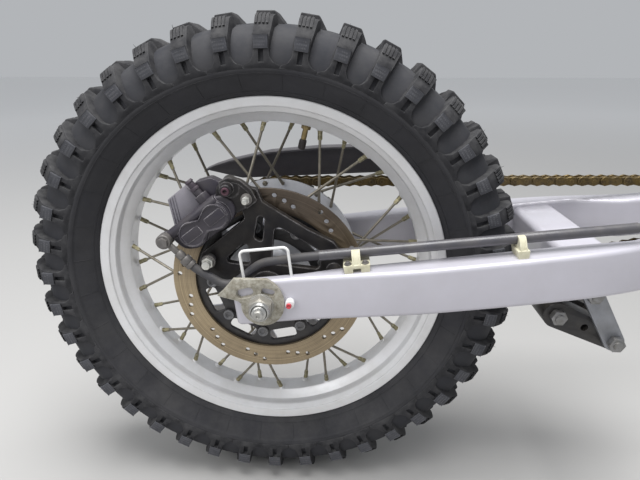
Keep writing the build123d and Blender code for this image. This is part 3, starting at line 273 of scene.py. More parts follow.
def dust_group() -> Tree:
    """Dust that settles in patches, most on what faces up."""
    group = Group("Dust", {"Vector": (VECTOR, None), "Color": (COLOR, None), "Dust": (COLOR, None),
                           "Amount": (FLOAT, 0.3), "Scale": (FLOAT, 30.0)}, {"Color": COLOR, "Mask": FLOAT})
    tree, given = group.tree, group.given
    facing = add_node(tree, "SeparateXYZ", {0: add_node(tree, "TexCoord").outputs["Normal"]})
    upward = stretch(tree, facing.outputs["Z"], -0.4, 0.9, 0.25)
    patch = stretch(tree, noise(tree, given["Vector"], given["Scale"], 8.0, 0.7), 0.36, 0.68)
    mask = maths(tree, "MULTIPLY", maths(tree, "MULTIPLY", upward, patch), given["Amount"], clamp=True)
    return group.give(Color=blend(tree, mask, given["Color"], given["Dust"]), Mask=mask)


def wear_and_highlight_group() -> Tree:
    """Edges turned to another colour, broken up by a noise: rubbed wear on most finishes, painted highlight
    on the bracket casting.
    """
    group = Group("Edge wear", {"Vector": (VECTOR, None), "Color": (COLOR, None), "WornAndHighlight": (COLOR, None),
                                "Amount": (FLOAT, 0.5), "Radius": (FLOAT, 0.001)},
                  {"Color": COLOR, "Mask": FLOAT})
    tree, given = group.tree, group.given
    rounded_off = add_node(tree, "Bevel", {"Radius": given["Radius"]}, samples=4).outputs[0]
    true_normal = add_node(tree, "NewGeometry").outputs["Normal"]
    aligned = add_node(tree, "VectorMath", {0: rounded_off, 1: true_normal}, operation="DOT_PRODUCT")
    edge = stretch(tree, aligned.outputs["Value"], 0.995, 0.86)
    broken = stretch(tree, noise(tree, given["Vector"], 90.0, 6.0, 0.7), 0.35, 0.6)
    mask = maths(tree, "MULTIPLY", maths(tree, "MULTIPLY", edge, broken), given["Amount"], clamp=True)
    return group.give(Color=blend(tree, mask, given["Color"], given["WornAndHighlight"]), Mask=mask)


def turned_group() -> Tree:
    """Fine lines round the axle, as a lathe tool or a polisher leaves, and the radius itself."""
    group = Group("Turned lines", {"Vector": (VECTOR, None), "Scale": (FLOAT, 900.0)},
                  {"Value": FLOAT, "Radius": FLOAT})
    tree, given = group.tree, group.given
    flat = add_node(tree, "VectorMath", {0: given["Vector"], 1: (1.0, 0.0, 1.0)}, operation="MULTIPLY")
    radius = add_node(tree, "VectorMath", {0: flat.outputs[0]}, operation="LENGTH").outputs["Value"]
    return group.give(Value=streaks(tree, radius, given["Scale"], 2.0), Radius=radius)


def swept_group() -> Tree:
    """Streaks that run out from the axle."""
    group = Group("Swept streaks", {"Vector": (VECTOR, None), "Scale": (FLOAT, 60.0)}, {"Value": FLOAT})
    tree, given = group.tree, group.given
    parts = add_node(tree, "SeparateXYZ", {0: given["Vector"]}).outputs
    angle = maths(tree, "ARCTAN2", parts["X"], parts["Z"])
    return group.give(Value=streaks(tree, angle, given["Scale"], 4.0))


class Effect(Enum):
    """The shared effects, each with the maker of its node group."""

    MOTTLE = "Mottle"
    GRAIN = "Grain"
    DUST = "Dust"
    WEAR = "Edge wear"
    TURNED = "Turned lines"
    SWEPT = "Swept streaks"

    def place(self, tree: Tree, **sockets: Value) -> bpy.types.bpy_prop_collection:
        """Put the effect in a material, its node group built the first time.

        Args:
            tree: the material's node tree.
            sockets: the effect's inputs.

        Returns:
            The node's outputs by name.
        """
        makers = {"Mottle": mottle_group, "Grain": grain_group, "Dust": dust_group, "Edge wear": wear_and_highlight_group,
                  "Turned lines": turned_group, "Swept streaks": swept_group}
        group = bpy.data.node_groups.get(self.value) or makers[self.value]()
        return add_node(tree, "Group", sockets, node_tree=group).outputs


class Lines(Enum):
    """Tool marks on a bare metal face."""

    NONE = "none"
    TURNED = "round the axle"


@dataclass(frozen=True)
class Finish:
    """One surface finish, from its colours to its bump."""

    name: str
    base: Colour
    patch: Colour
    patch_scale: float = 25.0
    patch_share: float = 0.6
    roughness: float = 0.5
    roughness_spread: float = 0.2
    metallic: float = 0.0
    grain_scale: float = 900.0
    grain_depth: float = 0.00006
    dust: Colour = (0.30, 0.27, 0.22)
    dust_amount: float = 0.15
    dust_scale: float = 30.0
    dusty_roughness: float = 0.5
    # Edge colour: rubbed wear on most finishes, painted highlight on the bracket casting.
    worn_and_highlight: Colour = (0.5, 0.5, 0.5)
    worn_and_highlight_amount: float = 0.0
    worn_and_highlight_radius: float = 0.0012
    lines: Lines = Lines.NONE
    lines_scale: float = 900.0
    lines_depth: float = 0.00004
    coat: float = 0.0
    specular: float = 0.5

    def colour(self, tree: Tree, coords: Socket, centred: Socket) -> tuple[Socket, Socket]:
        """Lay down the finish's own colours before wear and dust.

        Args:
            tree: the material's node tree.
            coords: place on the piece.
            centred: place measured from the axle.

        Returns:
            The colour, and a value that varies with it.
        """
        mottle = Effect.MOTTLE.place(tree, Vector=coords, Base=(*self.base, 1.0), Patch=(*self.patch, 1.0),
                                     Scale=self.patch_scale, Share=self.patch_share)
        return mottle["Color"], mottle["Value"]

    def height(self, tree: Tree, coords: Socket, centred: Socket) -> Socket:
        """Height of the surface's grain and tool marks.

        Args:
            tree: the material's node tree.
            coords: place on the piece.
            centred: place measured from the axle.

        Returns:
            The height in metres.
        """
        grain = Effect.GRAIN.place(tree, Vector=coords, Scale=self.grain_scale)
        total = maths(tree, "MULTIPLY", grain["Height"], self.grain_depth)
        if self.lines is Lines.TURNED:
            marks = Effect.TURNED.place(tree, Vector=centred, Scale=self.lines_scale)
            total = maths(tree, "MULTIPLY_ADD", marks["Value"], self.lines_depth, total)
        return total

    def material(self) -> bpy.types.Material:
        """The finish as a material, made once."""
        made = bpy.data.materials.get(self.name)
        if made:
            return made
        made = bpy.data.materials.new(self.name)
        made.use_nodes = True
        tree = made.node_tree
        shader = tree.nodes["Principled BSDF"].inputs
        coords = add_node(tree, "TexCoord").outputs["Object"]
        centred = add_node(tree, "Mapping", {"Vector": coords, "Location": tuple(-AXLE)}).outputs[0]
        colour, value = self.colour(tree, coords, centred)
        # Lighter edges: rubbed wear, and on the bracket casting a painted highlight.
        if self.worn_and_highlight_amount:
            colour = Effect.WEAR.place(tree, Vector=coords, Color=colour, WornAndHighlight=(*self.worn_and_highlight, 1.0),
                                       Amount=self.worn_and_highlight_amount, Radius=self.worn_and_highlight_radius)["Color"]
        dust = Effect.DUST.place(tree, Vector=coords, Color=colour, Dust=(*self.dust, 1.0),
                                 Amount=self.dust_amount, Scale=self.dust_scale)
        tree.links.new(dust["Color"], shader["Base Color"])
        uneven = stretch(tree, value, 0.25, 0.75, self.roughness - self.roughness_spread / 2,
                         self.roughness + self.roughness_spread / 2)
        rough = maths(tree, "MULTIPLY_ADD", dust["Mask"], self.dusty_roughness, uneven, clamp=True)
        tree.links.new(rough, shader["Roughness"])
        if self.metallic:
            clean = maths(tree, "MULTIPLY_ADD", dust["Mask"], -self.metallic, self.metallic, clamp=True)
            tree.links.new(clean, shader["Metallic"])
        shader["Coat Weight"].default_value = self.coat
        shader["Specular IOR Level"].default_value = self.specular
        bump = add_node(tree, "Bump", {"Height": self.height(tree, coords, centred), "Distance": 1.0})
        tree.links.new(bump.outputs[0], shader["Normal"])
        return made


@dataclass(frozen=True)
class DiscFinish(Finish):
    """Brake disc steel, tan below and darkened at the top by painted shade."""

    # Colour, height, strength and blur of the painted shade that darkens the disc's top.
    top: Colour = (0.16, 0.15, 0.19)
    painted_shade_height: float = 0.045
    painted_shade_share: float = 0.9
    painted_shade_fade: float = 0.09

    def colour(self, tree: Tree, coords: Socket, centred: Socket) -> tuple[Socket, Socket]:
        """Tan below and darker above, the darker top being painted shade, with pad marks round the axle and
        faint streaks out from it.

        Args:
            tree: the material's node tree.
            coords: place on the piece.
            centred: place measured from the axle.

        Returns:
            The colour, and a value that varies with it.
        """
        tinted, value = super().colour(tree, coords, centred)
        for effect, scale, spread in ((Effect.SWEPT, 60.0, 0.05), (Effect.TURNED, 620.0, 0.2)):
            marks = effect.place(tree, Vector=centred, Scale=scale)
            shade = stretch(tree, marks["Value"], 0.3, 0.7, 1.0 - spread, 1.0 + spread)
            tinted = add_node(tree, "VectorMath", {0: tinted, 3: shade}, operation="SCALE").outputs[0]
        # Painted shade: the disc darkens towards its top.
        high = add_node(tree, "SeparateXYZ", {0: centred}).outputs["Z"]
        rise = stretch(tree, high, self.painted_shade_height - self.painted_shade_fade / 2, self.painted_shade_height + self.painted_shade_fade / 2, 0.0,
                       self.painted_shade_share)
        painted_shade_top = add_node(tree, "VectorMath", {0: tinted, 1: self.top}, operation="MULTIPLY")
        return blend(tree, rise, tinted, painted_shade_top.outputs[0]), value


@dataclass(frozen=True)
class TyreFinish(Finish):
    """Tyre rubber, black on the wall and greyed towards the lugs by dust and a painted bluish sheen."""

    # Grey towards the lugs: dust, and a painted bluish sheen of the sky.
    dust_and_sheen: Colour = (0.1, 0.1, 0.1)
    dust_and_sheen_from: float = 0.262
    dust_and_sheen_to: float = 0.300

    def colour(self, tree: Tree, coords: Socket, centred: Socket) -> tuple[Socket, Socket]:
        """Black wall that turns grey over the lugs, the grey standing for dust and a painted sheen.

        Args:
            tree: the material's node tree.
            coords: place on the piece.
            centred: place measured from the axle.

        Returns:
            The colour, and a value that varies with it.
        """
        plain, value = super().colour(tree, coords, centred)
        # Greyer with the radius: dust and painted sheen.
        radius = Effect.TURNED.place(tree, Vector=centred, Scale=60.0)["Radius"]
        reach = stretch(tree, radius, self.dust_and_sheen_from, self.dust_and_sheen_to)
        share = maths(tree, "MULTIPLY", reach, stretch(tree, value, 0.35, 0.65, 0.35))
        return blend(tree, share, plain, (*self.dust_and_sheen, 1.0)), value


ROAD_DUST = srgb(150, 140, 122)
# The tyre's grey towards the lugs is dust and painted sheen.
TYRE_RUBBER = TyreFinish(
    "Tyre rubber", srgb(46, 46, 49), srgb(58, 58, 62), patch_scale=18, roughness=0.72, grain_scale=1400,
    grain_depth=0.00008, dust=srgb(122, 120, 118), dust_amount=0.2, dust_scale=22, specular=0.25,
    dust_and_sheen=srgb(47, 48, 53), dust_and_sheen_from=0.264, dust_and_sheen_to=0.276)
LUG_RUBBER = Finish(
    "Lug rubber", srgb(38, 38, 41), srgb(53, 53, 57), patch_scale=60, roughness=0.75, grain_depth=0.00015,
    dust=srgb(122, 121, 118), dust_amount=0.28, dust_scale=60, worn_and_highlight=srgb(98, 98, 100), worn_and_highlight_amount=0.55,
    specular=0.2)
STUD_RUBBER = Finish(
    "Studded rubber", srgb(53, 54, 60), srgb(66, 67, 74), patch_scale=160, roughness=0.62, grain_scale=1500,
    grain_depth=0.0002, dust=srgb(122, 121, 118), dust_amount=0.2, dust_scale=60, worn_and_highlight=srgb(120, 120, 124),
    worn_and_highlight_amount=0.6)
RIM_ALLOY = Finish(
    "Rim alloy", srgb(228, 228, 230), srgb(212, 211, 210), roughness=0.38, roughness_spread=0.12,
    metallic=0.35, grain_scale=500, grain_depth=0.00001, dust_amount=0.12, lines=Lines.TURNED,
    lines_scale=1800, lines_depth=0.000012)
SPOKE_STEEL = Finish(
    "Spoke steel", srgb(140, 134, 122), srgb(88, 82, 70), patch_scale=60, roughness=0.4, metallic=0.7,
    grain_scale=1500, grain_depth=0.00001, dust_amount=0.25)
NIPPLE_BRASS = Finish(
    "Nipple brass", srgb(150, 143, 112), srgb(96, 89, 66), patch_scale=90, roughness=0.4, metallic=0.7,
    grain_depth=0.00002, dust_amount=0.25, worn_and_highlight=srgb(205, 202, 180), worn_and_highlight_amount=0.7)
HUB_ALLOY = Finish(
    "Hub alloy", srgb(228, 229, 234), srgb(208, 209, 215), roughness=0.42, metallic=0.45, grain_scale=700,
    grain_depth=0.00003, dust_amount=0.25, lines=Lines.TURNED, lines_scale=1200, lines_depth=0.00001)
DISC_STEEL = DiscFinish(
    "Disc steel", srgb(164, 147, 119), srgb(124, 110, 90), patch_scale=11, roughness=0.36, metallic=0.5,
    grain_depth=0.00001, dust_amount=0.1, lines=Lines.TURNED, lines_scale=2200, lines_depth=0.00002)
BLACK_CAST = Finish(
    "Black casting", srgb(27, 27, 31), srgb(38, 38, 43), patch_scale=50, roughness=0.38, grain_depth=0.0001,
    dust=ROAD_DUST, dust_amount=0.2, worn_and_highlight=srgb(112, 112, 118), worn_and_highlight_amount=0.7)
# The bracket casting's light edges are painted highlight along its rounded edges.
BRACKET_CAST = Finish(
    "Bracket casting", srgb(19, 18, 22), srgb(29, 28, 32), patch_scale=40, roughness=0.42,
    grain_depth=0.0001, dust=ROAD_DUST, dust_amount=0.12, worn_and_highlight=srgb(150, 147, 148), worn_and_highlight_amount=0.9,
    worn_and_highlight_radius=0.0026, specular=0.25)
CALIPER_PAINT = Finish(
    "Caliper coat", srgb(50, 47, 56), srgb(40, 37, 45), patch_scale=60, roughness=0.4, grain_scale=1100,
    grain_depth=0.00012, dust=srgb(128, 122, 116), dust_amount=0.22, worn_and_highlight=srgb(176, 172, 176),
    worn_and_highlight_amount=1.0, worn_and_highlight_radius=0.0009, specular=0.4)
ARM_PAINT = Finish(
    "Arm paint", srgb(192, 190, 199), srgb(184, 182, 190), patch_scale=9, patch_share=0.8, roughness=0.34,
    roughness_spread=0.1, metallic=0.12, grain_scale=2200, grain_depth=0.000012, dust_amount=0.12,
    dust_scale=45, coat=0.5)
CAM_ZINC = Finish(
    "Cam zinc", srgb(172, 169, 158), srgb(124, 119, 106), patch_scale=190, patch_share=1.0, roughness=0.55,
    metallic=0.25, grain_scale=1600, grain_depth=0.00012, dust=ROAD_DUST, dust_amount=0.45, dust_scale=220,
    worn_and_highlight=srgb(205, 203, 196), worn_and_highlight_amount=0.7)
NUT_ZINC = Finish(
    "Nut zinc", srgb(158, 156, 150), srgb(124, 121, 113), patch_scale=160, patch_share=0.8, roughness=0.42,
    metallic=0.5, grain_depth=0.00004, dust=ROAD_DUST, dust_amount=0.35, dust_scale=160,
    worn_and_highlight=srgb(225, 225, 222), worn_and_highlight_amount=0.9)
AXLE_STEEL = Finish(
    "Axle steel", srgb(190, 190, 188), srgb(150, 148, 142), patch_scale=90, roughness=0.3, metallic=0.9,
    grain_depth=0.00001, dust_amount=0.25, dust_scale=90, lines=Lines.TURNED)
BOLT_ZINC = Finish(
    "Bolt zinc", srgb(150, 150, 152), srgb(112, 110, 104), patch_scale=120, roughness=0.42, metallic=0.8,
    grain_depth=0.00002, dust_amount=0.3)
DARK_BOLT = Finish(
    "Dark bolt", srgb(108, 109, 113), srgb(78, 78, 81), patch_scale=120, roughness=0.45, metallic=0.3,
    grain_depth=0.00003, dust_amount=0.35, worn_and_highlight=srgb(180, 180, 180), worn_and_highlight_amount=0.9)
SPROCKET_STEEL = Finish(
    "Sprocket steel", srgb(66, 62, 56), srgb(44, 40, 36), patch_scale=60, roughness=0.48, metallic=0.6,
    grain_depth=0.00004, dust_amount=0.3, worn_and_highlight=srgb(170, 166, 158), worn_and_highlight_amount=0.7)
CHAIN_STEEL = Finish(
    "Chain steel", srgb(108, 90, 50), srgb(58, 46, 28), patch_scale=120, patch_share=0.9, roughness=0.42,
    metallic=0.7, grain_depth=0.00004, dust_amount=0.25, worn_and_highlight=srgb(170, 150, 105), worn_and_highlight_amount=0.5)
WHITE_WIRE = Finish(
    "White wire coat", srgb(232, 232, 232), srgb(215, 214, 210), patch_scale=80, roughness=0.32,
    grain_depth=0.00002, dust_amount=0.12)
WHITE_CAP = Finish(
    "White cap", srgb(228, 228, 230), srgb(206, 204, 200), patch_scale=140, roughness=0.35,
    grain_depth=0.00002, dust_amount=0.2)
RED_DOT = Finish(
    "Red dot", srgb(200, 66, 76), srgb(172, 50, 60), patch_scale=200, roughness=0.4, grain_depth=0.00002,
    dust_amount=0.1)
HOSE_RUBBER = Finish(
    "Hose rubber", srgb(58, 58, 63), srgb(48, 48, 52), patch_scale=60, roughness=0.55, grain_scale=1800,
    dust_amount=0.25)
SLEEVE = Finish(
    "Pipe sleeve", srgb(74, 73, 79), srgb(62, 61, 66), patch_scale=40, roughness=0.33, grain_scale=1600,
    grain_depth=0.00003, dust_amount=0.22, coat=0.2)
CREAM_CLIP = Finish(
    "Cream clip", srgb(209, 205, 181), srgb(190, 184, 154), patch_scale=120, grain_depth=0.00004,
    dust_amount=0.25, worn_and_highlight=srgb(236, 233, 216), worn_and_highlight_amount=0.6)
GUARD_PLASTIC = Finish(
    "Guard moulding", srgb(84, 82, 88), srgb(74, 72, 78), patch_scale=16, grain_scale=1300,
    grain_depth=0.00009, dust_amount=0.25)
LINK_ALLOY = Finish(
    "Link alloy", srgb(150, 152, 158), srgb(134, 136, 140), patch_scale=60, roughness=0.48, metallic=0.6,
    grain_scale=1400, grain_depth=0.00005, dust_amount=0.3)
BLOCK_GREY = Finish(
    "Block grey", srgb(124, 121, 130), srgb(106, 104, 112), patch_scale=40, grain_scale=1400,
    grain_depth=0.00008, dust_amount=0.2, worn_and_highlight=srgb(150, 150, 156), worn_and_highlight_amount=0.4)
CAP_RUBBER = Finish(
    "Cap rubber", srgb(50, 42, 54), srgb(62, 50, 66), patch_scale=120, grain_depth=0.00005)
BRIGHT_BOLT = Finish(
    "Bright bolt", srgb(214, 214, 210), srgb(180, 178, 170), patch_scale=160, roughness=0.32, metallic=0.85,
    grain_depth=0.00002, dust_amount=0.2, dust_scale=160)
RUSTY_SCREW = Finish(
    "Rusty screw", srgb(84, 54, 66), srgb(60, 42, 54), patch_scale=220, metallic=0.4)
DULL_STEEL = Finish(
    "Dull steel", srgb(118, 115, 114), srgb(82, 80, 79), patch_scale=140, roughness=0.42, metallic=0.6,
    grain_depth=0.00003, dust_amount=0.3)
VALVE_BRASS = Finish(
    "Valve brass", srgb(150, 132, 92), srgb(112, 98, 68), patch_scale=200, roughness=0.4, metallic=0.8,
    grain_depth=0.00002, dust_amount=0.25)
VALVE_CAP = Finish(
    "Valve cap", srgb(48, 40, 38), srgb(36, 31, 31), patch_scale=160, dust_amount=0.2)
FRICTION = Finish(
    "Pad friction", srgb(70, 64, 60), srgb(92, 82, 72), patch_scale=300, patch_share=0.9, roughness=0.85,
    grain_scale=2200, grain_depth=0.0002, dust_amount=0.3)

NODE_FINISH: dict[str, Finish] = {
    "left_arm": ARM_PAINT, "right_arm": ARM_PAINT, "bridge": ARM_PAINT, "link_lug": ARM_PAINT,
    "left_tail": ARM_PAINT, "right_tail": ARM_PAINT, "left_pivot_lug": ARM_PAINT,
    "right_pivot_lug": ARM_PAINT, "pivot_collars": AXLE_STEEL, "snail_cam_right": CAM_ZINC,
    "snail_cam_left": CAM_ZINC, "cam_stop_pins": WHITE_CAP, "axle": AXLE_STEEL, "axle_nut": AXLE_STEEL,
    "axle_spacers": AXLE_STEEL, "tyre": TYRE_RUBBER, "spokes_right": SPOKE_STEEL, "spokes_left": SPOKE_STEEL,
    "nipples": NIPPLE_BRASS, "rim": RIM_ALLOY, "hub": HUB_ALLOY, "wheel_bearings": BOLT_ZINC,
    "valve_stem": HOSE_RUBBER, "brake_disc": DISC_STEEL, "disc_carrier": BLACK_CAST,
    "carrier_bolts": DARK_BOLT, "sprocket": SPROCKET_STEEL, "cush_drum": HUB_ALLOY,
    "sprocket_bolts": BOLT_ZINC, "chain": CHAIN_STEEL, "chain_slider": GUARD_PLASTIC,
    "chain_guard": GUARD_PLASTIC, "caliper_body": CALIPER_PAINT, "brake_pads": FRICTION,
    "bleeder": BOLT_ZINC, "caliper_bracket": BRACKET_CAST, "slide_pins": BOLT_ZINC,
    "brake_hose": HOSE_RUBBER, "hose_guard_pipe": SLEEVE, "hose_fittings": DULL_STEEL,
    "hose_clips": CREAM_CLIP, "tail_hoop": WHITE_WIRE, "link_rods": LINK_ALLOY, "rocker": BLACK_CAST,
    "link_bolts": BOLT_ZINC,
}


# Modelling steps
def fresh_start() -> None:
    """Leave edit mode and deselect everything."""
    if bpy.context.object and bpy.context.object.mode != "OBJECT":
        bpy.ops.object.mode_set(mode="OBJECT")
    bpy.ops.object.select_all(action="DESELECT")


def choose(piece: Piece) -> None:
    """Select one piece alone and make it the active one.

    Args:
        piece: the piece.
    """
    fresh_start()
    bpy.context.view_layer.objects.active = piece
    piece.select_set(True)


def settle(piece: Piece) -> Piece:
    """Put a piece's place into its mesh and leave its object at the origin.

    Args:
        piece: the piece.

    Returns:
        The piece.
    """
    fresh_start()
    piece.data.transform(piece.matrix_world)
    piece.matrix_world = Matrix.Identity(4)
    return piece


def started(name: str) -> Piece:
    """Settle and name the primitive that was just added."""
    piece = settle(bpy.context.view_layer.objects.active)
    piece.name = name
    return piece


class Shaper:
    """A piece opened in edit mode, and the operators that shape it."""

    def __init__(self, piece: Piece) -> None:
        """Remember the piece."""
        self.piece = piece

    def __enter__(self) -> "Shaper":
        """Open the piece with nothing in it selected."""
        choose(self.piece)
        bpy.ops.object.mode_set(mode="EDIT")
        bpy.ops.mesh.select_all(action="DESELECT")
        return self

    def __exit__(self, *_: object) -> None:
        """Close the piece."""
        bpy.ops.object.mode_set(mode="OBJECT")

    def pick(self, test: Callable[[Vector, Vector], bool]) -> None:
        """Select the faces that pass a test.

        Args:
            test: takes a face's middle and its normal, both in the scene's frame.
        """
        bpy.ops.mesh.select_mode(type="FACE")
        mesh = bmesh.from_edit_mesh(self.piece.data)
        world = self.piece.matrix_world
        turn = world.to_3x3()
        for face in mesh.faces:
            face.select_set(bool(test(world @ face.calc_center_median(), (turn @ face.normal).normalized())))
        mesh.select_flush_mode()
        bmesh.update_edit_mesh(self.piece.data)

    def place(self, corners: Sequence[Vector]) -> bmesh.types.BMesh:
        """Move the piece's corners, in their order.

        Args:
            corners: where each goes, in metres.

        Returns:
            The open mesh.
        """
        mesh = bmesh.from_edit_mesh(self.piece.data)
        mesh.verts.ensure_lookup_table()
        for vertex, corner in zip(mesh.verts, corners):
            vertex.co = corner
        bmesh.update_edit_mesh(self.piece.data)
        return mesh

    def all(self) -> None:
        """Select everything."""
        bpy.ops.mesh.select_all(action="SELECT")

    def scale(self, factors: Sequence[float], centre: Vector) -> None:
        """Scale the selection about a point."""
        bpy.ops.transform.resize(value=tuple(factors), center_override=tuple(centre))

    def extrude(self, run: Sequence[float]) -> None:
        """Extrude the selection along a run in metres."""
        bpy.ops.mesh.extrude_region_move(TRANSFORM_OT_translate={"value": tuple(run)})


def tidy_mesh(piece: Piece) -> Piece:
    """Merge doubles and turn all faces outwards."""
    with Shaper(piece) as shape:
        shape.all()
        bpy.ops.mesh.remove_doubles(threshold=0.01 * MM)
        bpy.ops.mesh.normals_make_consistent(inside=False)
    return piece


def modify(piece: Piece, kind: str, **settings: object) -> None:
    """Add a modifier and apply it.

    Args:
        piece: the piece.
        kind: the modifier's type.
        settings: its properties.
    """
    choose(piece)
    modifier = piece.modifiers.new(kind.title(), kind)
    for label, value in settings.items():
        setattr(modifier, label, value)
    bpy.ops.object.modifier_apply(modifier=modifier.name)


def smooth(piece: Piece, degrees: float = CREASE) -> Piece:
    """Shade a piece smooth except at its sharp edges.

    Args:
        piece: the piece.
        degrees: edges sharper than this stay sharp.

    Returns:
        The piece.
    """
    choose(piece)
    bpy.ops.object.shade_smooth_by_angle(angle=math.radians(degrees))
    return piece


def soften(piece: Piece, width: float, segments: int = 2, degrees: float = 30.0) -> Piece:
    """Round a piece's edges and shade it smooth between them.

    Args:
        piece: the piece.
        width: width of the rounding in millimetres.
        segments: facets of the rounding.
        degrees: edges sharper than this are rounded.

    Returns:
        The piece.
    """
    modify(piece, "BEVEL", width=width * MM, segments=segments, limit_method="ANGLE",
           angle_limit=math.radians(degrees), harden_normals=False)
    return smooth(piece)


def dish(piece: Piece, test: Callable[[Vector, Vector], bool], *steps: Point) -> Piece:
    """Sink or raise the middle of some faces step by step.

    Args:
        piece: the piece.
        test: takes a face's middle and its normal, and picks the faces.
        steps: (inset, depth) of each step in millimetres.

    Returns:
        The piece.
    """
    with Shaper(piece) as shape:
        shape.pick(test)
        for thickness, depth in steps:
            bpy.ops.mesh.inset(thickness=thickness * MM, depth=depth * MM)
    return piece


def block(name: str, centre: Vector, size: Sequence[float]) -> Piece:
    """Start a piece from a box.

    Args:
        name: the piece's name.
        centre: its middle in metres.
        size: its sides in millimetres.

    Returns:
        The piece.
    """
    fresh_start()
    bpy.ops.mesh.primitive_cube_add(size=1.0, location=centre, scale=[side * MM for side in size])
    return started(name)


def ball(name: str, centre: Vector, radius: float, segments: int, rings: int, flat: float = 1.0) -> Piece:
    """Start a piece from a sphere.

    Args:
        name: the piece's name.
        centre: its middle in metres.
        radius: its radius in millimetres.
        segments: corners of a ring.
        rings: rings from pole to pole.
        flat: how far it is flattened along Y.

    Returns:
        The piece.
    """
    fresh_start()
    bpy.ops.mesh.primitive_uv_sphere_add(segments=segments, ring_count=rings, radius=radius * MM,
                                         scale=(1.0, flat, 1.0), location=centre)
    return started(name)


def rod(name: str, start: Vector, end: Vector, radius: float, sides: int = 16,
        end_radius: Optional[float] = None) -> Piece:
    """Start a piece from a round bar or cone.

    Args:
        name: the piece's name.
        start: middle of its first end in metres.
        end: middle of its other end in metres.
        radius: its radius in millimetres.
        sides: corners of a ring.
        end_radius: radius of its other end, where that differs.

    Returns:
        The piece.
    """
    fresh_start()
    run = end - start
    bpy.ops.mesh.primitive_cone_add(vertices=sides, radius1=radius * MM,
                                    radius2=(radius if end_radius is None else end_radius) * MM,
                                    depth=run.length, location=(start + end) / 2,
                                    rotation=run.to_track_quat("Z", "Y").to_euler())
    return started(name)


def bar(name: str, place: Matrix, start: Sequence[float], end: Sequence[float], radius: float,
        sides: int = 20, end_radius: Optional[float] = None) -> Piece:
    """A round or many-sided bar between two points of a drawing.

    Args:
        name: the piece's name.
        place: from the drawing to its place.
        start: middle of its first end in millimetres.
        end: middle of its other end in millimetres.
        radius: its radius in millimetres.
        sides: corners of a ring.
        end_radius: radius of its other end, where that differs.

    Returns:
        The piece.
    """
    return rod(name, place @ (Vector(start) * MM), place @ (Vector(end) * MM), radius, sides, end_radius)


def lathe(name: str, section: Sequence[Point], segments: int, centre: Vector = AXLE) -> Piece:
    """Build a turned piece ring by ring round an axis along Y, its last ring joined to its first.

    Args:
        name: the piece's name.
        section: (radius, place along Y) of each ring in millimetres.
        segments: corners of a ring.
        centre: a point of the axis.

    Returns:
        The piece.
    """
    fresh_start()
    radius, y = section[0]
    bpy.ops.mesh.primitive_circle_add(vertices=segments, radius=radius * MM, rotation=(math.pi / 2, 0.0, 0.0),
                                      location=(centre.x, y * MM, centre.z))
    piece = started(name)
    with Shaper(piece) as shape:
        bpy.ops.mesh.select_mode(type="VERT")
        shape.all()
        for next_radius, next_y in [*section[1:], section[0]]:
            shape.extrude((0.0, (next_y - y) * MM, 0.0))
            ratio = next_radius / radius
            shape.scale((ratio, 1.0, ratio), Vector((centre.x, next_y * MM, centre.z)))
            radius, y = next_radius, next_y
    return tidy_mesh(piece)


def loft(name: str, rows: Sequence[Sequence[Vector]]) -> Piece:
    """Lay a grid over rows of points and close its open edge with a face.

    Args:
        name: the piece's name.
        rows: rows of places in metres, each with as many as the first.

    Returns:
        The piece.
    """
    fresh_start()
    bpy.ops.mesh.primitive_grid_add(x_subdivisions=len(rows[0]) - 1, y_subdivisions=len(rows) - 1, size=1.0)
    piece = started(name)
    with Shaper(piece) as shape:
        mesh = shape.place([corner for row in rows for corner in row])
        bpy.ops.mesh.select_mode(type="VERT")
        for vertex in mesh.verts:
            vertex.select_set(vertex.is_boundary)
        mesh.select_flush_mode()
        bpy.ops.mesh.edge_face_add()
        shape.all()
        bpy.ops.mesh.normals_make_consistent(inside=False)
    return piece


def prism(name: str, corners: Sequence[Vector], run: Vector) -> Piece:
    """Thicken a flat outline along a line.

    Args:
        name: the piece's name.
        corners: the outline in metres.
        run: how far and where to it is thickened, in metres.

    Returns:
        The piece.
    """
    fresh_start()
    bpy.ops.mesh.primitive_circle_add(vertices=len(corners), radius=0.01, fill_type="NGON")
    piece = started(name)
    with Shaper(piece) as shape:
        shape.place(corners)
        shape.all()
        shape.extrude(run)
    return tidy_mesh(piece)


def slab(name: str, points: Sequence[Point], y_low: float, y_high: float,
         place: Optional[Matrix] = None) -> Piece:
    """Thicken a drawing in X and Z between two places along Y.

    Args:
        name: the piece's name.
        points: the drawing's corners in millimetres.
        y_low: where its right face lies.
        y_high: where its left face lies.
        place: from the drawing to its place, round the axle where it isn't given.

    Returns:
        The piece.
    """
    place = place or Matrix.Translation(AXLE)
    corners = [place @ (Vector((x, y_low, z)) * MM) for x, z in points]
    return prism(name, corners, Vector((0.0, (y_high - y_low) * MM, 0.0)))


def rounded(points: Sequence[Point], radius: float, steps: int = 4) -> list[Point]:
    """Round the corners of a closed outline.

    Args:
        points: its corners.
        radius: how far the rounding reaches along each side.
        steps: points per corner.

    Returns:
        The outline with its corners rounded.
    """
    result = []
    for number, corner in enumerate(points):
        here = Vector(corner)
        before, after = Vector(points[number - 1]), Vector(points[(number + 1) % len(points)])
        start = here + (before - here).normalized() * min(radius, (before - here).length / 2.1)
        end = here + (after - here).normalized() * min(radius, (after - here).length / 2.1)
        for step in range(steps + 1):
            share = step / steps
            place = start * (1 - share) ** 2 + here * 2 * share * (1 - share) + end * share ** 2
            result.append((place.x, place.y))
    return result


def join(name: str, parts: Iterable[Piece]) -> Piece:
    """Join finished meshes into one piece.

    Args:
        name: the piece's name.
        parts: the meshes.

    Returns:
        The piece.
    """
    fresh_start()
    parts = list(parts)
    for part in parts:
        part.select_set(True)
    piece = bpy.context.view_layer.objects.active = parts[0]
    if len(parts) > 1:
        bpy.ops.object.join()
    piece.name = piece.data.name = name
    return piece


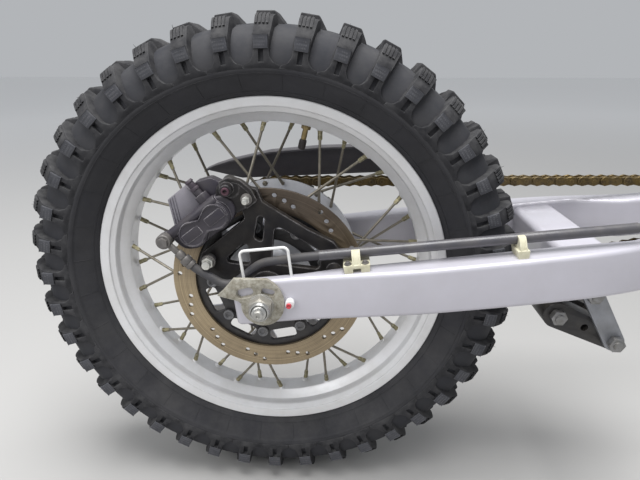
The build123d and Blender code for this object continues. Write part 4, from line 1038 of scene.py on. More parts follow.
def copies(pattern: Piece, moves: Iterable[Matrix]) -> list[Piece]:
    """Copy a piece to several places, each copy with its own mesh, and drop the pattern.

    Args:
        pattern: the piece modelled once.
        moves: where each copy goes from the pattern's place.

    Returns:
        The copies.
    """
    made = []
    for move in moves:
        twin = pattern.copy()
        twin.data = pattern.data.copy()
        twin.data.transform(move)
        if move.determinant() < 0:
            twin.data.flip_normals()
        bpy.context.scene.collection.objects.link(twin)
        made.append(twin)
    bpy.data.objects.remove(pattern)
    return made


def cut(piece: Piece, *cutters: Piece, operation: str = "DIFFERENCE") -> Piece:
    """Cut shapes out of a piece, or cut it back to them, and drop them.

    Args:
        piece: the piece.
        cutters: the shapes.
        operation: what is done with them.

    Returns:
        The piece.
    """
    for cutter in cutters:
        modify(piece, "BOOLEAN", operation=operation, object=cutter, solver="EXACT")
        bpy.data.objects.remove(cutter)
    return piece


def rounded_copy(node: str, width: float, *cutters: Piece, segments: int = 2, degrees: float = 32.0) -> Piece:
    """Copy a solid's mesh and round its edges.

    Args:
        node: the solid.
        width: width of the rounding in millimetres.
        cutters: shapes taken out of the copy before its edges are rounded.
        segments: facets of the rounding.
        degrees: edges sharper than this are rounded.

    Returns:
        The rounded copy.
    """
    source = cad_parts[node]
    piece = bpy.data.objects.new(node + "_rounded", source.data.copy())
    bpy.context.scene.collection.objects.link(piece)
    piece.matrix_world = source.matrix_world
    settle(piece)
    with Shaper(piece) as shape:
        shape.all()
        bpy.ops.mesh.remove_doubles(threshold=0.005 * MM)
        bpy.ops.mesh.dissolve_limited(angle_limit=math.radians(2.0))
        bpy.ops.mesh.normals_make_consistent(inside=False)
    return soften(cut(piece, *cutters), width, segments, degrees)


def seat(piece: Piece, body: str, finish: Finish, slot: str, *nodes: str) -> Piece:
    """Hand a finished piece to its body.

    Args:
        piece: the piece, in place.
        body: the body that it rides on.
        finish: its surface.
        slot: the record's material slot; not used.
        nodes: the solids that it stands for.

    Returns:
        The piece.
    """
    piece.data.materials.clear()
    piece.data.materials.append(finish.material())
    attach(piece, body)
    if nodes:
        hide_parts(*nodes)
    triangles = sum(len(face.vertices) - 2 for face in piece.data.polygons)
    LOG.info("%s rides on %s with %d triangles", piece.name, body, triangles)
    return piece


def fit(name: str, parts: Iterable[Piece], degrees: float, body: str, finish: Finish, slot: str,
        *nodes: str) -> Piece:
    """Join parts into one piece, shade it smooth and hand it to its body.

    Args:
        name: the piece's name.
        parts: its parts.
        degrees: edges sharper than this stay sharp.
        body: the body that it rides on.
        finish: its surface.
        slot: the record's material slot.
        nodes: the solids that it stands for.

    Returns:
        The piece.
    """
    return seat(smooth(join(name, parts), degrees), body, finish, slot, *nodes)


@dataclass
class Tyre:
    """Knobbly tyre: a carcass, forty rows of lugs and the moulding hairs on their tips."""

    rows: int = 40
    first_row: float = 0.2
    tip_radius: float = 325.5
    scoop_radius: float = 13.5
    scoop_middle: float = 280.0
    widest: float = 318.0
    flare: float = 1.6
    lug_foot: float = 308.0
    tip_ribs: int = 4
    tip_line: tuple[tuple[float, float, float], ...] = (
        (309.0, 49.4, 51.9), (313.0, 45.0, 47.6), (316.8, 40.6, 43.4), (319.2, 37.4, 39.6),
        (320.2, 31.5, 34.0))
    segments: int = 240
    inside: tuple[Point, ...] = ((300.0, 0.0), (296.0, 24.0), (284.0, 42.0), (262.0, 50.0), (240.0, 38.0),
                                 (228.0, 25.0), (219.0, 19.0))
    hair_spots: tuple[Point, ...] = ((314.5, 44.0), (319.0, 38.0), (325.0, 12.0))
    hairs_lost: float = 0.25
    hair_radius: float = 0.5
    hair_tip: float = 0.15
    hair_length: float = 6.2
    crown_hair: float = 0.26
    mould_lines: int = 32
    first_line: float = 5.2
    line_reach: tuple[float, ...] = (238.5, 246.0, 254.0, 256.0)
    line_section: tuple[Point, ...] = ((-0.6, -0.3), (-0.35, 0.5), (0.35, 0.5), (0.6, -0.3))

    def floor(self) -> list[Point]:
        """(radius, y) of the carcass from the left bead over the crown to its middle."""
        return [(218.0, 31.2), (229.6, 31.3), (231.6, 34.5), (232.4, 38.6), (234.8, 41.2), (235.8, 42.0),
                (236.1, 43.2), (236.9, 43.9), (237.4, 43.3), (238.5, 44.0), (246.0, 50.8), (254.0, 57.0),
                (256.4, 58.5), (256.8, 59.6), (257.6, 60.1), (258.1, 59.6), (260.6, 61.2), (262.0, 61.0),
                (266.5, 60.8), (272.0, 60.2),
                (280.0, 58.6), (288.0, 55.8), (295.0, 51.8), (301.0, 46.4), (305.4, 40.0), (308.4, 32.0),
                (310.6, 20.0), (311.8, 8.0)]

    def carcass(self) -> Piece:
        """The hollow tyre without its lugs."""
        left = self.floor()
        right = [(r, -y) for r, y in reversed(left)]
        inner_right = [(r, -y) for r, y in reversed(self.inside[1:])]
        return lathe("carcass", [*left, *right, *inner_right, *self.inside], self.segments)

    def lines_on_wall(self) -> list[Piece]:
        """Fine raised lines that the mould leaves across both walls."""
        wall = dict(self.floor())
        steps = [(radius, wall.get(radius, wall[254.0] + (radius - 254.0) * 0.64))
                 for radius in self.line_reach]
        line = loft("mould_line", [[self.place(radius, w, y + rise) for w, rise in self.line_section]
                                   for radius, y in steps])
        turns = [round_axle(self.first_line + number * 360.0 / self.mould_lines)
                 for number in range(self.mould_lines)]
        return copies(line, [turn @ flip for turn in turns for flip in BOTH_SIDES])

    def half_width(self, radius: float) -> float:
        """Half the width of the raised rib between two scoops.

        Args:
            radius: where the rib is measured.

        Returns:
            The half width in millimetres.
        """
        below = self.scoop_middle - radius
        scoop = self.scoop_radius
        if below > 0:
            scoop = math.sqrt(max(0.0, self.scoop_radius ** 2 - below ** 2))
        return radius * math.pi / self.rows - scoop

    def shoulder_lug(self) -> Piece:
        """One shoulder lug with the rib that runs down from it to the wall, on the left side."""
        # radius and y of the top, radius and y of the foot, reach at the back and front, depth of the hollow
        stations = [
            (262.5, 61.2, 261.0, 59.5, 0.0, 0.0, 0.0), (266.6, 63.0, 266.0, 59.0, 0.0, 0.0, 0.0),
            (268.8, 63.6, 268.0, 59.0, 0.0, 0.0, 0.0), (270.2, 63.8, 269.5, 58.8, 0.0, 0.0, 6.0),
            (276.0, 64.0, 275.0, 58.0, 0.0, 0.0, 6.0), (282.2, 63.6, 280.0, 57.0, 0.0, 0.0, 6.0),
            (283.4, 63.2, 281.0, 56.5, 0.0, 0.0, 0.0), (290.0, 62.8, 287.0, 54.0, -0.4, 0.0, 0.0),
            (297.0, 61.6, 291.0, 51.0, -1.2, 0.2, 0.0), (303.0, 56.4, 294.0, 47.0, -1.8, 0.6, 0.0),
            (310.0, 49.6, 298.0, 43.0, -2.4, 0.8, 0.0), (316.4, 42.4, 301.0, 38.0, -2.8, 1.0, 0.0),
            (318.6, 38.6, 303.0, 36.0, -3.0, 1.6, 0.0), (319.8, 33.0, 304.0, 32.0, -3.2, 2.6, 0.0),
            (318.8, 28.4, 305.0, 29.0, -3.0, 3.4, 0.0), (312.0, 26.6, 305.0, 27.5, -2.0, 4.2, 0.0),
            (306.0, 25.6, 304.0, 26.5, -1.0, 5.0, 0.0)]
        rows = []
        for radius, y, low_radius, low_y, back, front, hollow in stations:
            rib = self.half_width(min(radius, self.widest))
            width, far = rib + back, rib + front
            section = ((low_radius, -width - self.flare, low_y), (radius, -width, y), (radius, -3.0, y - 0.2),
                       (radius, -2.4, y - hollow), (radius, 2.4, y - hollow), (radius, 3.0, y - 0.2),
                       (radius, far, y), (low_radius, far + self.flare, low_y))
            rows.append([self.place(*point) for point in section])
        return soften(loft("shoulder_lug", rows), 0.9, 2, 32.0)

    @staticmethod
    def place(radius: float, width: float, y: float) -> Vector:
        """A point at a radius, a width forward along the turn, and a place across."""
        return polar(radius, math.degrees(width / radius), y)

    def tie_bar(self) -> list[Piece]:
        """The studded block low on a shoulder lug, and its studs."""
        # radius, half width and y of the foot, half width and y of the top
        stations = ((283.2, 8.4, 60.0, 8.0, 65.0), (290.5, 8.4, 59.0, 8.2, 65.1),
                    (297.6, 8.4, 57.0, 8.3, 64.4))
        tie = loft("tie_bar", [[self.place(radius, w, y) for w, y in ((-foot, low), (-top, high), (top, high),
                                                                      (foot, low))]
                               for radius, foot, low, top, high in stations])
        studs = [block("stud", self.place(286.5 + 3.6 * row, -6.2 + 2.5 * column + (row % 2) * 1.2, 65.0),
                       (1.1, 0.7, 1.1)) for row in range(3) for column in range(5)]
        return [soften(tie, 0.6, 2), *studs]

    def shoulder_ribs(self) -> list[Piece]:
        """Fine ribs that the mould leaves across the tip of a shoulder lug."""
        ribs = []
        for number in range(self.tip_ribs):
            across = -6.3 + number * 4.3
            rows = []
            for radius, low, high in self.tip_line:
                section = ((radius, -1.5, low), (radius + 0.9, -1.2, high), (radius + 0.9, 1.2, high),
                           (radius, 1.5, low))
                rows.append([self.place(r, across + w, y) for r, w, y in section])
            ribs.append(loft("tip_rib", rows))
        return ribs

    def centre_lug(self, low_y: float, high_y: float) -> Piece:
        """One lug of the middle rows, steep at the back and ramped at the front.

        Args:
            low_y: where its right side lies.
            high_y: where its left side lies.

        Returns:
            The lug.
        """
        drop = abs((low_y + high_y) / 2) * 0.06
        low = self.lug_foot
        rows = []
        for y, inset, sink in ((low_y - 1.5, 2.0, 14.0), (low_y, 0.4, 0.8), (low_y + 1.2, 0.0, 0.0),
                               (high_y - 1.2, 0.0, 0.0), (high_y, 0.4, 0.8), (high_y + 1.5, 2.0, 14.0)):
            top = self.tip_radius - drop - sink
            section = ((low, -11.5 - inset), (top - 0.8, -10.0 + inset), (top, -9.0 + inset),
                       (top, 11.0 - inset), (top - 1.5, 13.0 - inset), (min(top, 315.0), 20.0 - inset),
                       (low, 25.0 + inset))
            rows.append([self.place(radius, width, y) for radius, width in section])
        return soften(loft("centre_lug", rows), 0.8, 2, 34.0)

    def hairs(self, seed: int) -> list[Piece]:
        """Rubber hairs left by the mould's vents, on the lugs' tips.

        Args:
            seed: start of the random draws.

        Returns:
            The hairs.
        """
        draw = random.Random(seed)
        pattern = rod("hair", at_axle(0, 0, 0), at_axle(0, 0, self.hair_length), self.hair_radius, 5,
                      self.hair_tip)
        moves = []
        for row in range(self.rows):
            turn = self.first_row + row * 360.0 / self.rows
            for radius, y in self.hair_spots:
                for side in (-1.0, 1.0):
                    if draw.random() < self.hairs_lost:
                        continue
                    width = draw.uniform(-8.0, 9.0)
                    lean = Matrix.Rotation(draw.uniform(-0.5, 0.5), 4, "X") @ Matrix.Rotation(
                        draw.uniform(-0.7, 0.7), 4, "Y")
                    size = draw.uniform(0.5, 1.0) if radius < 320 else self.crown_hair
                    place = polar(radius, turn + math.degrees(width / radius), side * y)
                    outward = Matrix.Rotation(math.radians(turn), 4, "Y")
                    moves.append(Matrix.Translation(place) @ outward @ lean @ Matrix.Scale(size, 4)
                                 @ Matrix.Translation(-AXLE))
        return copies(pattern, moves)

    def build(self) -> None:
        """Model the tyre and seat it on the wheel."""
        turns = [round_axle(self.first_row + row * 360.0 / self.rows) for row in range(self.rows)]
        both_sides = [turn @ flip for turn in turns for flip in BOTH_SIDES]
        parts = copies(join("side_module", [self.shoulder_lug(), *self.shoulder_ribs()]), both_sides)
        pair = join("pair", [self.centre_lug(3.0, 20.0), self.centre_lug(-20.0, -3.0)])
        parts += copies(pair, turns[::2])
        parts += copies(self.centre_lug(-15.0, 15.0), turns[1::2])
        fit("tyre_lugs", parts, SOFT_CREASE, WHEEL, LUG_RUBBER, "tyre", "tyre")
        ties = join("tyre_tie_bars", copies(join("tie", self.tie_bar()), both_sides))
        seat(ties, WHEEL, STUD_RUBBER, "tyre", "tyre")
        fit("carcass", [self.carcass(), *self.lines_on_wall()], 50.0, WHEEL, TYRE_RUBBER, "tyre", "tyre")
        seat(join("tyre_hairs", self.hairs(7)), WHEEL, LUG_RUBBER, "tyre")


@dataclass
class Rim:
    """Drop-centre rim with turned flanges and a raised dome round every nipple."""

    dome_radius: float = 7.2
    dome_sink: float = 2.2
    segments: int = 288

    def build(self, spokes: "Spokes") -> None:
        """Turn the rim and set its domes.

        Args:
            spokes: the spokes whose nipples the domes surround.
        """
        half = [(199.0, 8.0), (199.2, 13.2), (200.4, 14.8), (208.6, 20.0), (210.6, 21.6), (211.6, 24.0),
                (212.0, 29.6), (213.0, 31.6), (218.6, 34.6), (219.2, 35.4), (219.4, 36.4), (220.4, 37.0),
                (228.8, 38.0), (230.2, 38.0), (231.2, 37.2), (231.3, 36.0), (230.2, 33.6), (220.0, 31.9),
                (217.6, 31.0), (217.2, 18.0), (204.2, 11.0)]
        section = half + [(r, -y) for r, y in reversed(half)]
        parts = [smooth(lathe("rim_body", section, self.segments), 22.0)]
        for _, _, end in spokes.runs():
            out = end - AXLE
            out.y = 0.0
            place = end + out.normalized() * self.dome_sink * MM
            parts.append(smooth(ball("dome", place, self.dome_radius, 20, 12), 80.0))
        seat(join("rim_turned", parts), WHEEL, RIM_ALLOY, "rim", "rim")


@dataclass
class Spokes:
    """Thirty-six laced spokes with elbows, heads and squared nipples."""

    pairs: int = 9
    phases: tuple[tuple[str, float, float], ...] = (("right", -28.0, -11.5), ("left", 40.0, -1.5))
    head_circle: float = 108.5
    head_spread: float = 6.8
    nipple_spread: float = 10.0
    nipple_circle: float = 201.5
    nipple_side: float = 8.0
    lift: float = 6.9
    radius: float = 2.0
    swage: float = 0.16
    elbow: float = 1.45
    button: float = 3.7
    nipple_length: float = 15.0
    nipple_foot: float = 6.5

    def runs(self) -> list[tuple[str, Vector, Vector]]:
        """(side, head end, rim end) of every spoke, in metres."""
        found = []
        for side, flange_y, phase in self.phases:
            outward = math.copysign(1.0, flange_y)
            for pair in range(self.pairs):
                middle = phase + pair * 360.0 / self.pairs
                for lean in (-1, 1):
                    head = polar(self.head_circle, middle - lean * self.head_spread,
                                 flange_y + self.lift * lean * outward)
                    rim = polar(self.nipple_circle, middle + lean * self.nipple_spread,
                                outward * self.nipple_side)
                    found.append((side, head, rim))
        return found

    def spoke(self, side: str, head: Vector, end: Vector) -> list[Piece]:
        """One spoke: its run, the swaged end, the elbow through the flange and the head.

        Args:
            side: the flange that holds it.
            head: where it turns into the flange.
            end: where it meets the rim.

        Returns:
            Its parts.
        """
        flange_y = {name: y for name, y, _ in self.phases}[side] * MM
        through = head + Vector((0.0, flange_y - head.y, 0.0)) * self.elbow
        thin, thick = self.radius * 0.9, self.radius * 1.12
        return [rod("run", head, end, thin, 10),
                rod("swage", head, head.lerp(end, self.swage), thick, 10, thin),
                rod("elbow", head, through, self.radius * 1.1, 10), ball("knee", head, thick, 12, 8),
                ball("button", through, self.button, 14, 8, 0.5)]

    def nipple(self, head: Vector, end: Vector) -> list[Piece]:
        """One nipple: a squared foot, a collar and a tapered sleeve.

        Args:
            head: the hub's end of its spoke.
            end: the rim's end of its spoke.

        Returns:
            Its parts.
        """
        along = (end - head).normalized()
        start = end - along * self.nipple_length * MM
        foot = rod("foot", start, start + along * self.nipple_foot * MM, 3.3, 4)
        return [soften(foot, 0.35, 1),
                rod("sleeve", start + along * (self.nipple_foot - 1.0) * MM, end, 2.9, 14, 3.5),
                rod("lip", start - along * 0.8 * MM, start + along * 0.4 * MM, 2.4, 12)]

    def build(self) -> None:
        """Model both sides' spokes and their nipples."""
        nipples = []
        for wanted in ("right", "left"):
            parts = []
            for side, head, end in self.runs():
                if side == wanted:
                    parts += self.spoke(side, head, end)
                    nipples += self.nipple(head, end)
            fit(f"spokes_{wanted}_laced", parts, SOFT_CREASE, WHEEL, SPOKE_STEEL, "spoke", f"spokes_{wanted}")
        fit("nipples_squared", nipples, CREASE, WHEEL, NIPPLE_BRASS, "nipple", "nipples")


@dataclass
class Chain:
    """Endless roller chain of waisted plates, rollers and riveted pins."""

    pitches: int = 100
    wheel_radius: float = 101.17
    nose_radius: float = 46.2
    length: float = 559.45
    pitch: float = 15.875
    middle: float = 79.0
    teeth: int = 40
    eye: float = 6.9
    eye_steps: int = 7
    waist: float = 4.9

    @property
    def lean(self) -> float:
        """Angle between the loop's straight runs and its middle line."""
        return math.asin((self.wheel_radius - self.nose_radius) / self.length)

    def runs(self) -> tuple[float, float, float]:
        """Length of a straight run, of the arc round the nose and of the arc round the wheel."""
        return (self.length * math.cos(self.lean), self.nose_radius * (math.pi - 2 * self.lean),
                self.wheel_radius * (math.pi + 2 * self.lean))

    def place(self, run: float) -> Point:
        """Place on the loop, in the arm's frame.

        Args:
            run: how far along the loop, from the wheel's top.

        Returns:
            Its x and z.
        """
        lean, wheel, nose = self.lean, self.wheel_radius, self.nose_radius
        straight, nose_arc, _ = self.runs()
        run = run % self.total()
        if run < straight:
            return (-self.length + wheel * math.sin(lean) + run * math.cos(lean),
                    wheel * math.cos(lean) - run * math.sin(lean))
        run -= straight
        if run < nose_arc:
            turn = lean + run / nose
            return nose * math.sin(turn), nose * math.cos(turn)
        run -= nose_arc
        if run < straight:
            return (nose * math.sin(lean) - run * math.cos(lean),
                    -nose * math.cos(lean) - run * math.sin(lean))
        turn = math.pi - lean + (run - straight) / wheel
        return -self.length + wheel * math.sin(turn), wheel * math.cos(turn)

    def total(self) -> float:
        """Length of the loop."""
        straight, nose_arc, wheel_arc = self.runs()
        return 2 * straight + wheel_arc + nose_arc

    def plate(self, low: float, high: float, swell: float) -> Piece:
        """A waisted plate from the pivot forward by one pitch.

        Args:
            low: where its right face lies from the chain's middle.
            high: where its left face lies.
            swell: how much rounder it is than the outer plates.

        Returns:
            The plate.
        """
        eye, waist = self.eye + swell, self.waist + swell
        points = []
        for centre, first in ((self.pitch, -30.0), (0.0, 150.0)):
            for step in range(self.eye_steps + 1):
                turn = math.radians(first + step * 240.0 / self.eye_steps)
                points.append((centre + eye * math.sin(turn), eye * math.cos(turn)))
            points.append((self.pitch / 2, -waist if centre else waist))
        return soften(slab("plate", points, low, high, Matrix.Identity(4)), 0.35, 1, 50.0)

    def rollers(self, half: float, radius: float, sides: int) -> list[Piece]:
        """A pin or roller in each end of a link.

        Args:
            half: how far it reaches to each side.
            radius: its radius.
            sides: corners of a ring.

        Returns:
            Both of them.
        """
        return [bar("roller", Matrix.Identity(4), (x, -half, 0), (x, half, 0), radius, sides)
                for x in (0.0, self.pitch)]

    def build(self) -> None:
        """Model two links, lay fifty of each round the loop and seat the chain."""
        outer = join("outer_link", [self.plate(-8.4, -6.5, 0.0), self.plate(6.5, 8.4, 0.0),
                                    *self.rollers(8.9, 2.6, 12)])
        inner = join("inner_link", [self.plate(-6.4, -4.7, 0.15), self.plate(4.7, 6.4, 0.15),
                                    *self.rollers(4.6, 5.05, 16)])
        step = self.total() / self.pitches
        start = self.phase()
        moves = ([], [])
        for number in range(self.pitches):
            x, z = self.place(start + number * step)
            far_x, far_z = self.place(start + (number + 1) * step)
            turn = math.atan2(-(far_z - z), far_x - x)
            local = Matrix.Translation(Vector((x, self.middle, z)) * MM) @ Matrix.Rotation(turn, 4, "Y")
            moves[number % 2].append(at_arm() @ local)
        links = copies(outer, moves[0]) + copies(inner, moves[1])
        fit("chain_links", links, SOFT_CREASE, SWINGARM, CHAIN_STEEL, "chain", "chain")

    def phase(self) -> float:
        """Run at which a roller sits in a valley of the sprocket.

        A valley stands half a tooth from straight up, and the loop starts where the chain leaves the wheel.

        Returns:
            The run in millimetres.
        """
        tooth = 360.0 / self.teeth
        off = math.degrees(ARM_TILT) - math.degrees(self.lean)
        valley = tooth / 2 - tooth * round((tooth / 2 + off) / tooth)
        return math.radians(valley + off) * self.wheel_radius


@dataclass
class Arms:
    """Both arms of the swingarm, each one smooth beam from its pivot boss to its slotted tail."""

    height: float = 57.0
    tail: float = -594.0
    crease: float = 28.0

    def plan(self) -> list[Point]:
        """Outline of the left arm seen from above."""
        outer = [(self.tail, 118.0), (-512.0, 118.0), (-378.0, 128.0), (-271.0, 125.5), (-160.0, 119.0),
                 (-50.0, 92.0), (0.0, 92.0)]
        inner = [(0.0, 60.0), (-62.0, 60.0), (-125.0, 86.0), (-216.0, 86.0), (-378.0, 91.7), (-462.0, 94.5),
                 (-510.0, 101.0), (self.tail, 101.0)]
        bends = rounded([*outer[1:6]], 40.0, 10)[11:-11]
        return [outer[0], outer[1], *bends, *outer[5:], *inner]

    def arm(self) -> Piece:
        """The left arm."""
        half = self.height / 2
        corners = [at_arm() @ (Vector((x, y, -half)) * MM) for x, y in self.plan()]
        beam = soften(prism("beam", corners, at_arm() @ Vector((0.0, 0.0, self.height * MM))), 6.0, 5, 50.0)
        slot = rounded([(-577.0, -8.8), (-577.0, 8.8), (-533.0, 8.8), (-533.0, -8.8)], 8.5, 6)
        corner = [(self.tail - 2, half + 2), (self.tail - 2, 8.0), (self.tail, 8.0),
                  (self.tail + 11, half + 2)]
        cut(beam, slab("slot", slot, 90.0, 125.0, at_arm()), slab("corner", corner, 90.0, 125.0, at_arm()),
            bar("bore", at_arm(), (0, 50, 0), (0, 100, 0), 14.0, 40))
        boss = lathe("boss", [(14.2, 60.5), (28.5, 60.0), (30.0, 61.5), (30.0, 90.5), (28.5, 92.0),
                              (14.2, 91.5)], 64, Vector((0.0, 0.0, 0.0)))
        return smooth(join("arm", [beam, boss]), self.crease)

    def build(self) -> None:
        """Model one arm and mirror it."""
        for arm, side in zip(copies(self.arm(), BOTH_SIDES), ("left", "right")):
            arm.name = f"{side}_arm_beam"
            seat(smooth(arm, self.crease), SWINGARM, ARM_PAINT, "arm", f"{side}_arm", f"{side}_tail",
                 f"{side}_pivot_lug")


@dataclass
class Caliper:
    """Two-piston caliper: cast body, paired piston caps, pad block, bleeder and pin boots."""

    front: float = -87.0
    pistons: tuple[float, float] = (16.1, -19.8)
    piston_line: float = 112.1
    bleeder_spot: Point = (16.0, -80.0)
    slide_pins: tuple[Point, ...] = ((-31.8, 73.0), (57.7, 104.7))
    boot: float = 8.6
    block_rib: tuple[Point, ...] = ((-38.0, 131.0), (-21.6, 160.4), (-19.6, 160.4), (-36.0, 131.0))

    def eight(self, radius: float, waist: float) -> list[Point]:
        """Outline of the two round caps joined at the waist.

        Args:
            radius: radius of a cap.
            waist: half the width between them.

        Returns:
            The outline.
        """
        points = []
        for centre, first in zip(self.pistons, (-125.0, 55.0)):
            for step in range(21):
                turn = math.radians(first + step * 12.5)
                points.append((centre + radius * math.cos(turn), self.piston_line + radius * math.sin(turn)))
            points.append((-1.8, self.piston_line + (waist if centre > 0 else -waist)))
        return points

    def caps(self) -> list[Piece]:
        """The raised figure of two piston caps, each crossed by a bar."""
        figure = slab("caps", self.eight(15.6, 9.0), self.front - 7.5, self.front + 2, at_caliper())
        dish(figure, lambda _, normal: normal.y < -0.9, (1.3, 0.0), (0.5, -1.5))
        parts = [soften(figure, 0.45, 2, 40.0)]
        for middle in self.pistons:
            low, high = middle - 12.6, middle + 12.6
            outline = rounded([(low, 106.0), (low, 117.5), (high, 117.5), (high, 106.0)], 2.0)
            cross = slab("cap_bar", outline, self.front - 6.9, self.front - 4.0, at_caliper())
            parts.append(soften(cross, 0.5, 2, 40.0))
        return parts

    def body(self) -> list[Piece]:
        """Cast body, cylinder shoulders and the fluid tube along its outer edge."""
        place = at_caliper()
        outer = rounded([(-46.0, 120.0), (-44.0, 104.0), (-32.0, 94.5), (26.0, 94.5), (38.0, 100.0),
                         (43.0, 112.0), (40.0, 124.0), (28.0, 132.0), (-46.0, 132.0)], 7.0)
        bridge = rounded([(-27.0, 128.0), (-27.0, 149.5), (27.0, 149.5), (34.0, 130.0)], 5.0)
        inner = rounded([(-27.0, 100.0), (-27.0, 149.5), (27.0, 149.5), (27.0, 100.0)], 6.0)
        back = rounded([(8.0, 128.0), (10.0, 150.0), (20.0, 157.0), (38.0, 150.0), (45.0, 136.0),
                        (40.0, 124.0)], 3.0)
        shapes = [(slab("body", outer, self.front, -62.5, place), 2.6, 3)]
        for middle in self.pistons:
            spot = (middle, self.piston_line)
            shapes.append((self.along("shoulder", spot, self.front - 4.5, -64.0, 18.6, 40), 2.4, 3))
        shapes += [(bar("tube", place, (-49.0, -85.5, 126.5), (30.0, -85.5, 126.5), 6.6, 28), 1.6, 3),
                   (bar("collar", place, (-50.0, -85.5, 126.5), (-45.5, -85.5, 126.5), 8.2, 28), 1.0, 2),
                   (slab("bridge", bridge, -66.0, -43.0, place), 2.0, 2),
                   (slab("inner", inner, -50.0, -42.2, place), 2.0, 2),
                   (slab("back_boss", back, -76.0, -60.0, place), 1.8, 2)]
        return [soften(shape, width, facets, 50.0) for shape, width, facets in shapes]

    def ear(self) -> list[Piece]:
        """The ear of the casting with its raised rim, and the barrel for the upper slide pin."""
        place = at_caliper()
        plate = rounded([(30.0, 100.0), (46.0, 96.0), (66.0, 96.0), (69.0, 110.0), (66.0, 126.0),
                         (57.0, 137.0), (44.0, 140.0), (30.0, 132.0)], 7.0)
        rim = rounded([(50.0, 95.4), (66.6, 95.4), (69.6, 110.0), (66.6, 126.6), (57.2, 137.6), (44.0, 140.6),
                       (44.0, 136.0), (55.0, 133.0), (62.0, 124.5), (65.0, 110.0), (62.0, 99.5),
                       (50.0, 99.5)], 2.5)
        barrel = bar("barrel", place, (47.0, -93.5, 127.5), (49.0, -60.0, 131.5), 7.4, 32, 8.6)
        return [soften(slab("ear", plate, -83.5, -70.0, place), 2.4, 3, 50.0),
                soften(slab("ear_rim", rim, -84.6, -82.0, place), 0.7, 2, 40.0),
                soften(self.along("hump", (50.0, 127.0), -84.0, -70.0, 12.5, 32), 3.0, 3, 50.0),
                soften(barrel, 1.6, 3, 50.0)]

    def pad_block(self) -> list[Piece]:
        """Plain lighter block outboard of the disc, ribbed along its slanted end."""
        outline = [(-38.5, 130.0), (-21.5, 161.0), (7.0, 161.0), (10.0, 130.0)]
        parts = [soften(slab("pad_block", outline, -76.0, -44.0, at_caliper()), 1.2, 2, 40.0)]
        for shift in (1.6, 5.4, 9.2):
            line = [(x + shift, r) for x, r in self.block_rib]
            parts.append(soften(slab("rib", line, -77.2, -75.0, at_caliper()), 0.4, 1, 40.0))
        return parts

    def along(self, name: str, spot: Point, low: float, high: float, radius: float, sides: int) -> Piece:
        """A bar straight across the machine.

        Args:
            name: the piece's name.
            spot: its middle line, in the caliper's drawing.
            low: where its right end lies.
            high: where its left end lies.
            radius: its radius.
            sides: corners of a ring.

        Returns:
            The bar.
        """
        u, r = spot
        return bar(name, at_caliper(), (u, low, r), (u, high, r), radius, sides)

    def bleeder(self) -> None:
        """Bleeder with its hexagon, and its rubber cap."""
        u, y = self.bleeder_spot
        place = at_caliper()
        hexagon = soften(bar("hexagon", place, (u, y, 130.0), (u, y, 142.0), 8.8, 6), 0.8, 2)
        neck = bar("neck", place, (u, y, 140.0), (u, y, 152.0), 4.6, 20)
        fit("bleeder_neck", [hexagon, neck], CREASE, SWINGARM, CALIPER_PAINT, "pin", "bleeder")
        rings = ((149.0, 153.0, 5.4, 5.4), (152.5, 161.0, 4.4, 4.4), (160.0, 163.5, 5.6, 4.4))
        cap = join("bleeder_cap", [bar("cap", place, (u, y, low), (u, y, high), radius, 20, end)
                                   for low, high, radius, end in rings])
        seat(soften(cap, 0.5, 2), SWINGARM, CAP_RUBBER, "pin")

    def slides(self) -> None:
        """Rubber boots, bolts and flanges of both slide pins."""
        boots, bolts, flanges = [], [], []
        for spot, hexagon, flange in zip(self.slide_pins, (7.6, 4.8), (8.8, 6.9)):
            for number in range(4):
                low = -83.0 + number * 2.1
                boots.append(self.along("boot", spot, low, low + 1.5, self.boot - 0.3 * number, 26))
            boots.append(self.along("boot_core", spot, -83.5, -74.8, self.boot - 2.2, 26))
            bolts += [soften(self.along("pin_hex", spot, -91.5, -84.6, hexagon, 6), 0.6, 2),
                      soften(self.along("pin_tip", spot, -99.0, -93.0, hexagon * 0.68, 24), 0.8, 2),
                      self.along("pin_neck", spot, -94.0, -91.0, hexagon * 0.45, 20),
                      self.along("pin_shank", spot, -75.0, -65.0, 4.8, 20)]
            flanges += [soften(self.along("flange", spot, low, high, flange * share, 32), 0.5, 2)
                        for low, high, share in ((-86.2, -83.4, 1.0), (-87.6, -85.8, 0.8))]
        seat(soften(join("pin_boots", boots), 0.5, 2), SWINGARM, HOSE_RUBBER, "pin", "slide_pins")
        fit("pin_bolts", bolts, CREASE, SWINGARM, BRIGHT_BOLT, "pin")
        fit("pin_flanges", flanges, CREASE, SWINGARM, DULL_STEEL, "pin")

    def ear_screw(self) -> None:
        """Socket screw in the end of the ear's barrel."""
        screw = self.along("ear_screw", (47.0, 127.5), -95.6, -92.5, 4.8, 28)
        dish(screw, lambda _, normal: normal.y < -0.95, (1.0, 0.4), (1.3, 0.0), (0.2, -2.6))
        seat(soften(screw, 0.3, 2), SWINGARM, RUSTY_SCREW, "pin")

    def build(self) -> None:
        """Model the caliper and everything screwed to it."""
        fit("caliper_casting", [*self.body(), *self.caps()], SOFT_CREASE, SWINGARM, CALIPER_PAINT, "caliper",
            "caliper_body")
        fit("caliper_ear", self.ear(), SOFT_CREASE, SWINGARM, BRACKET_CAST, "caliper", "caliper_body")
        fit("caliper_block", self.pad_block(), SOFT_CREASE, SWINGARM, BLOCK_GREY, "caliper")
        self.bleeder()
        self.slides()
        self.ear_screw()


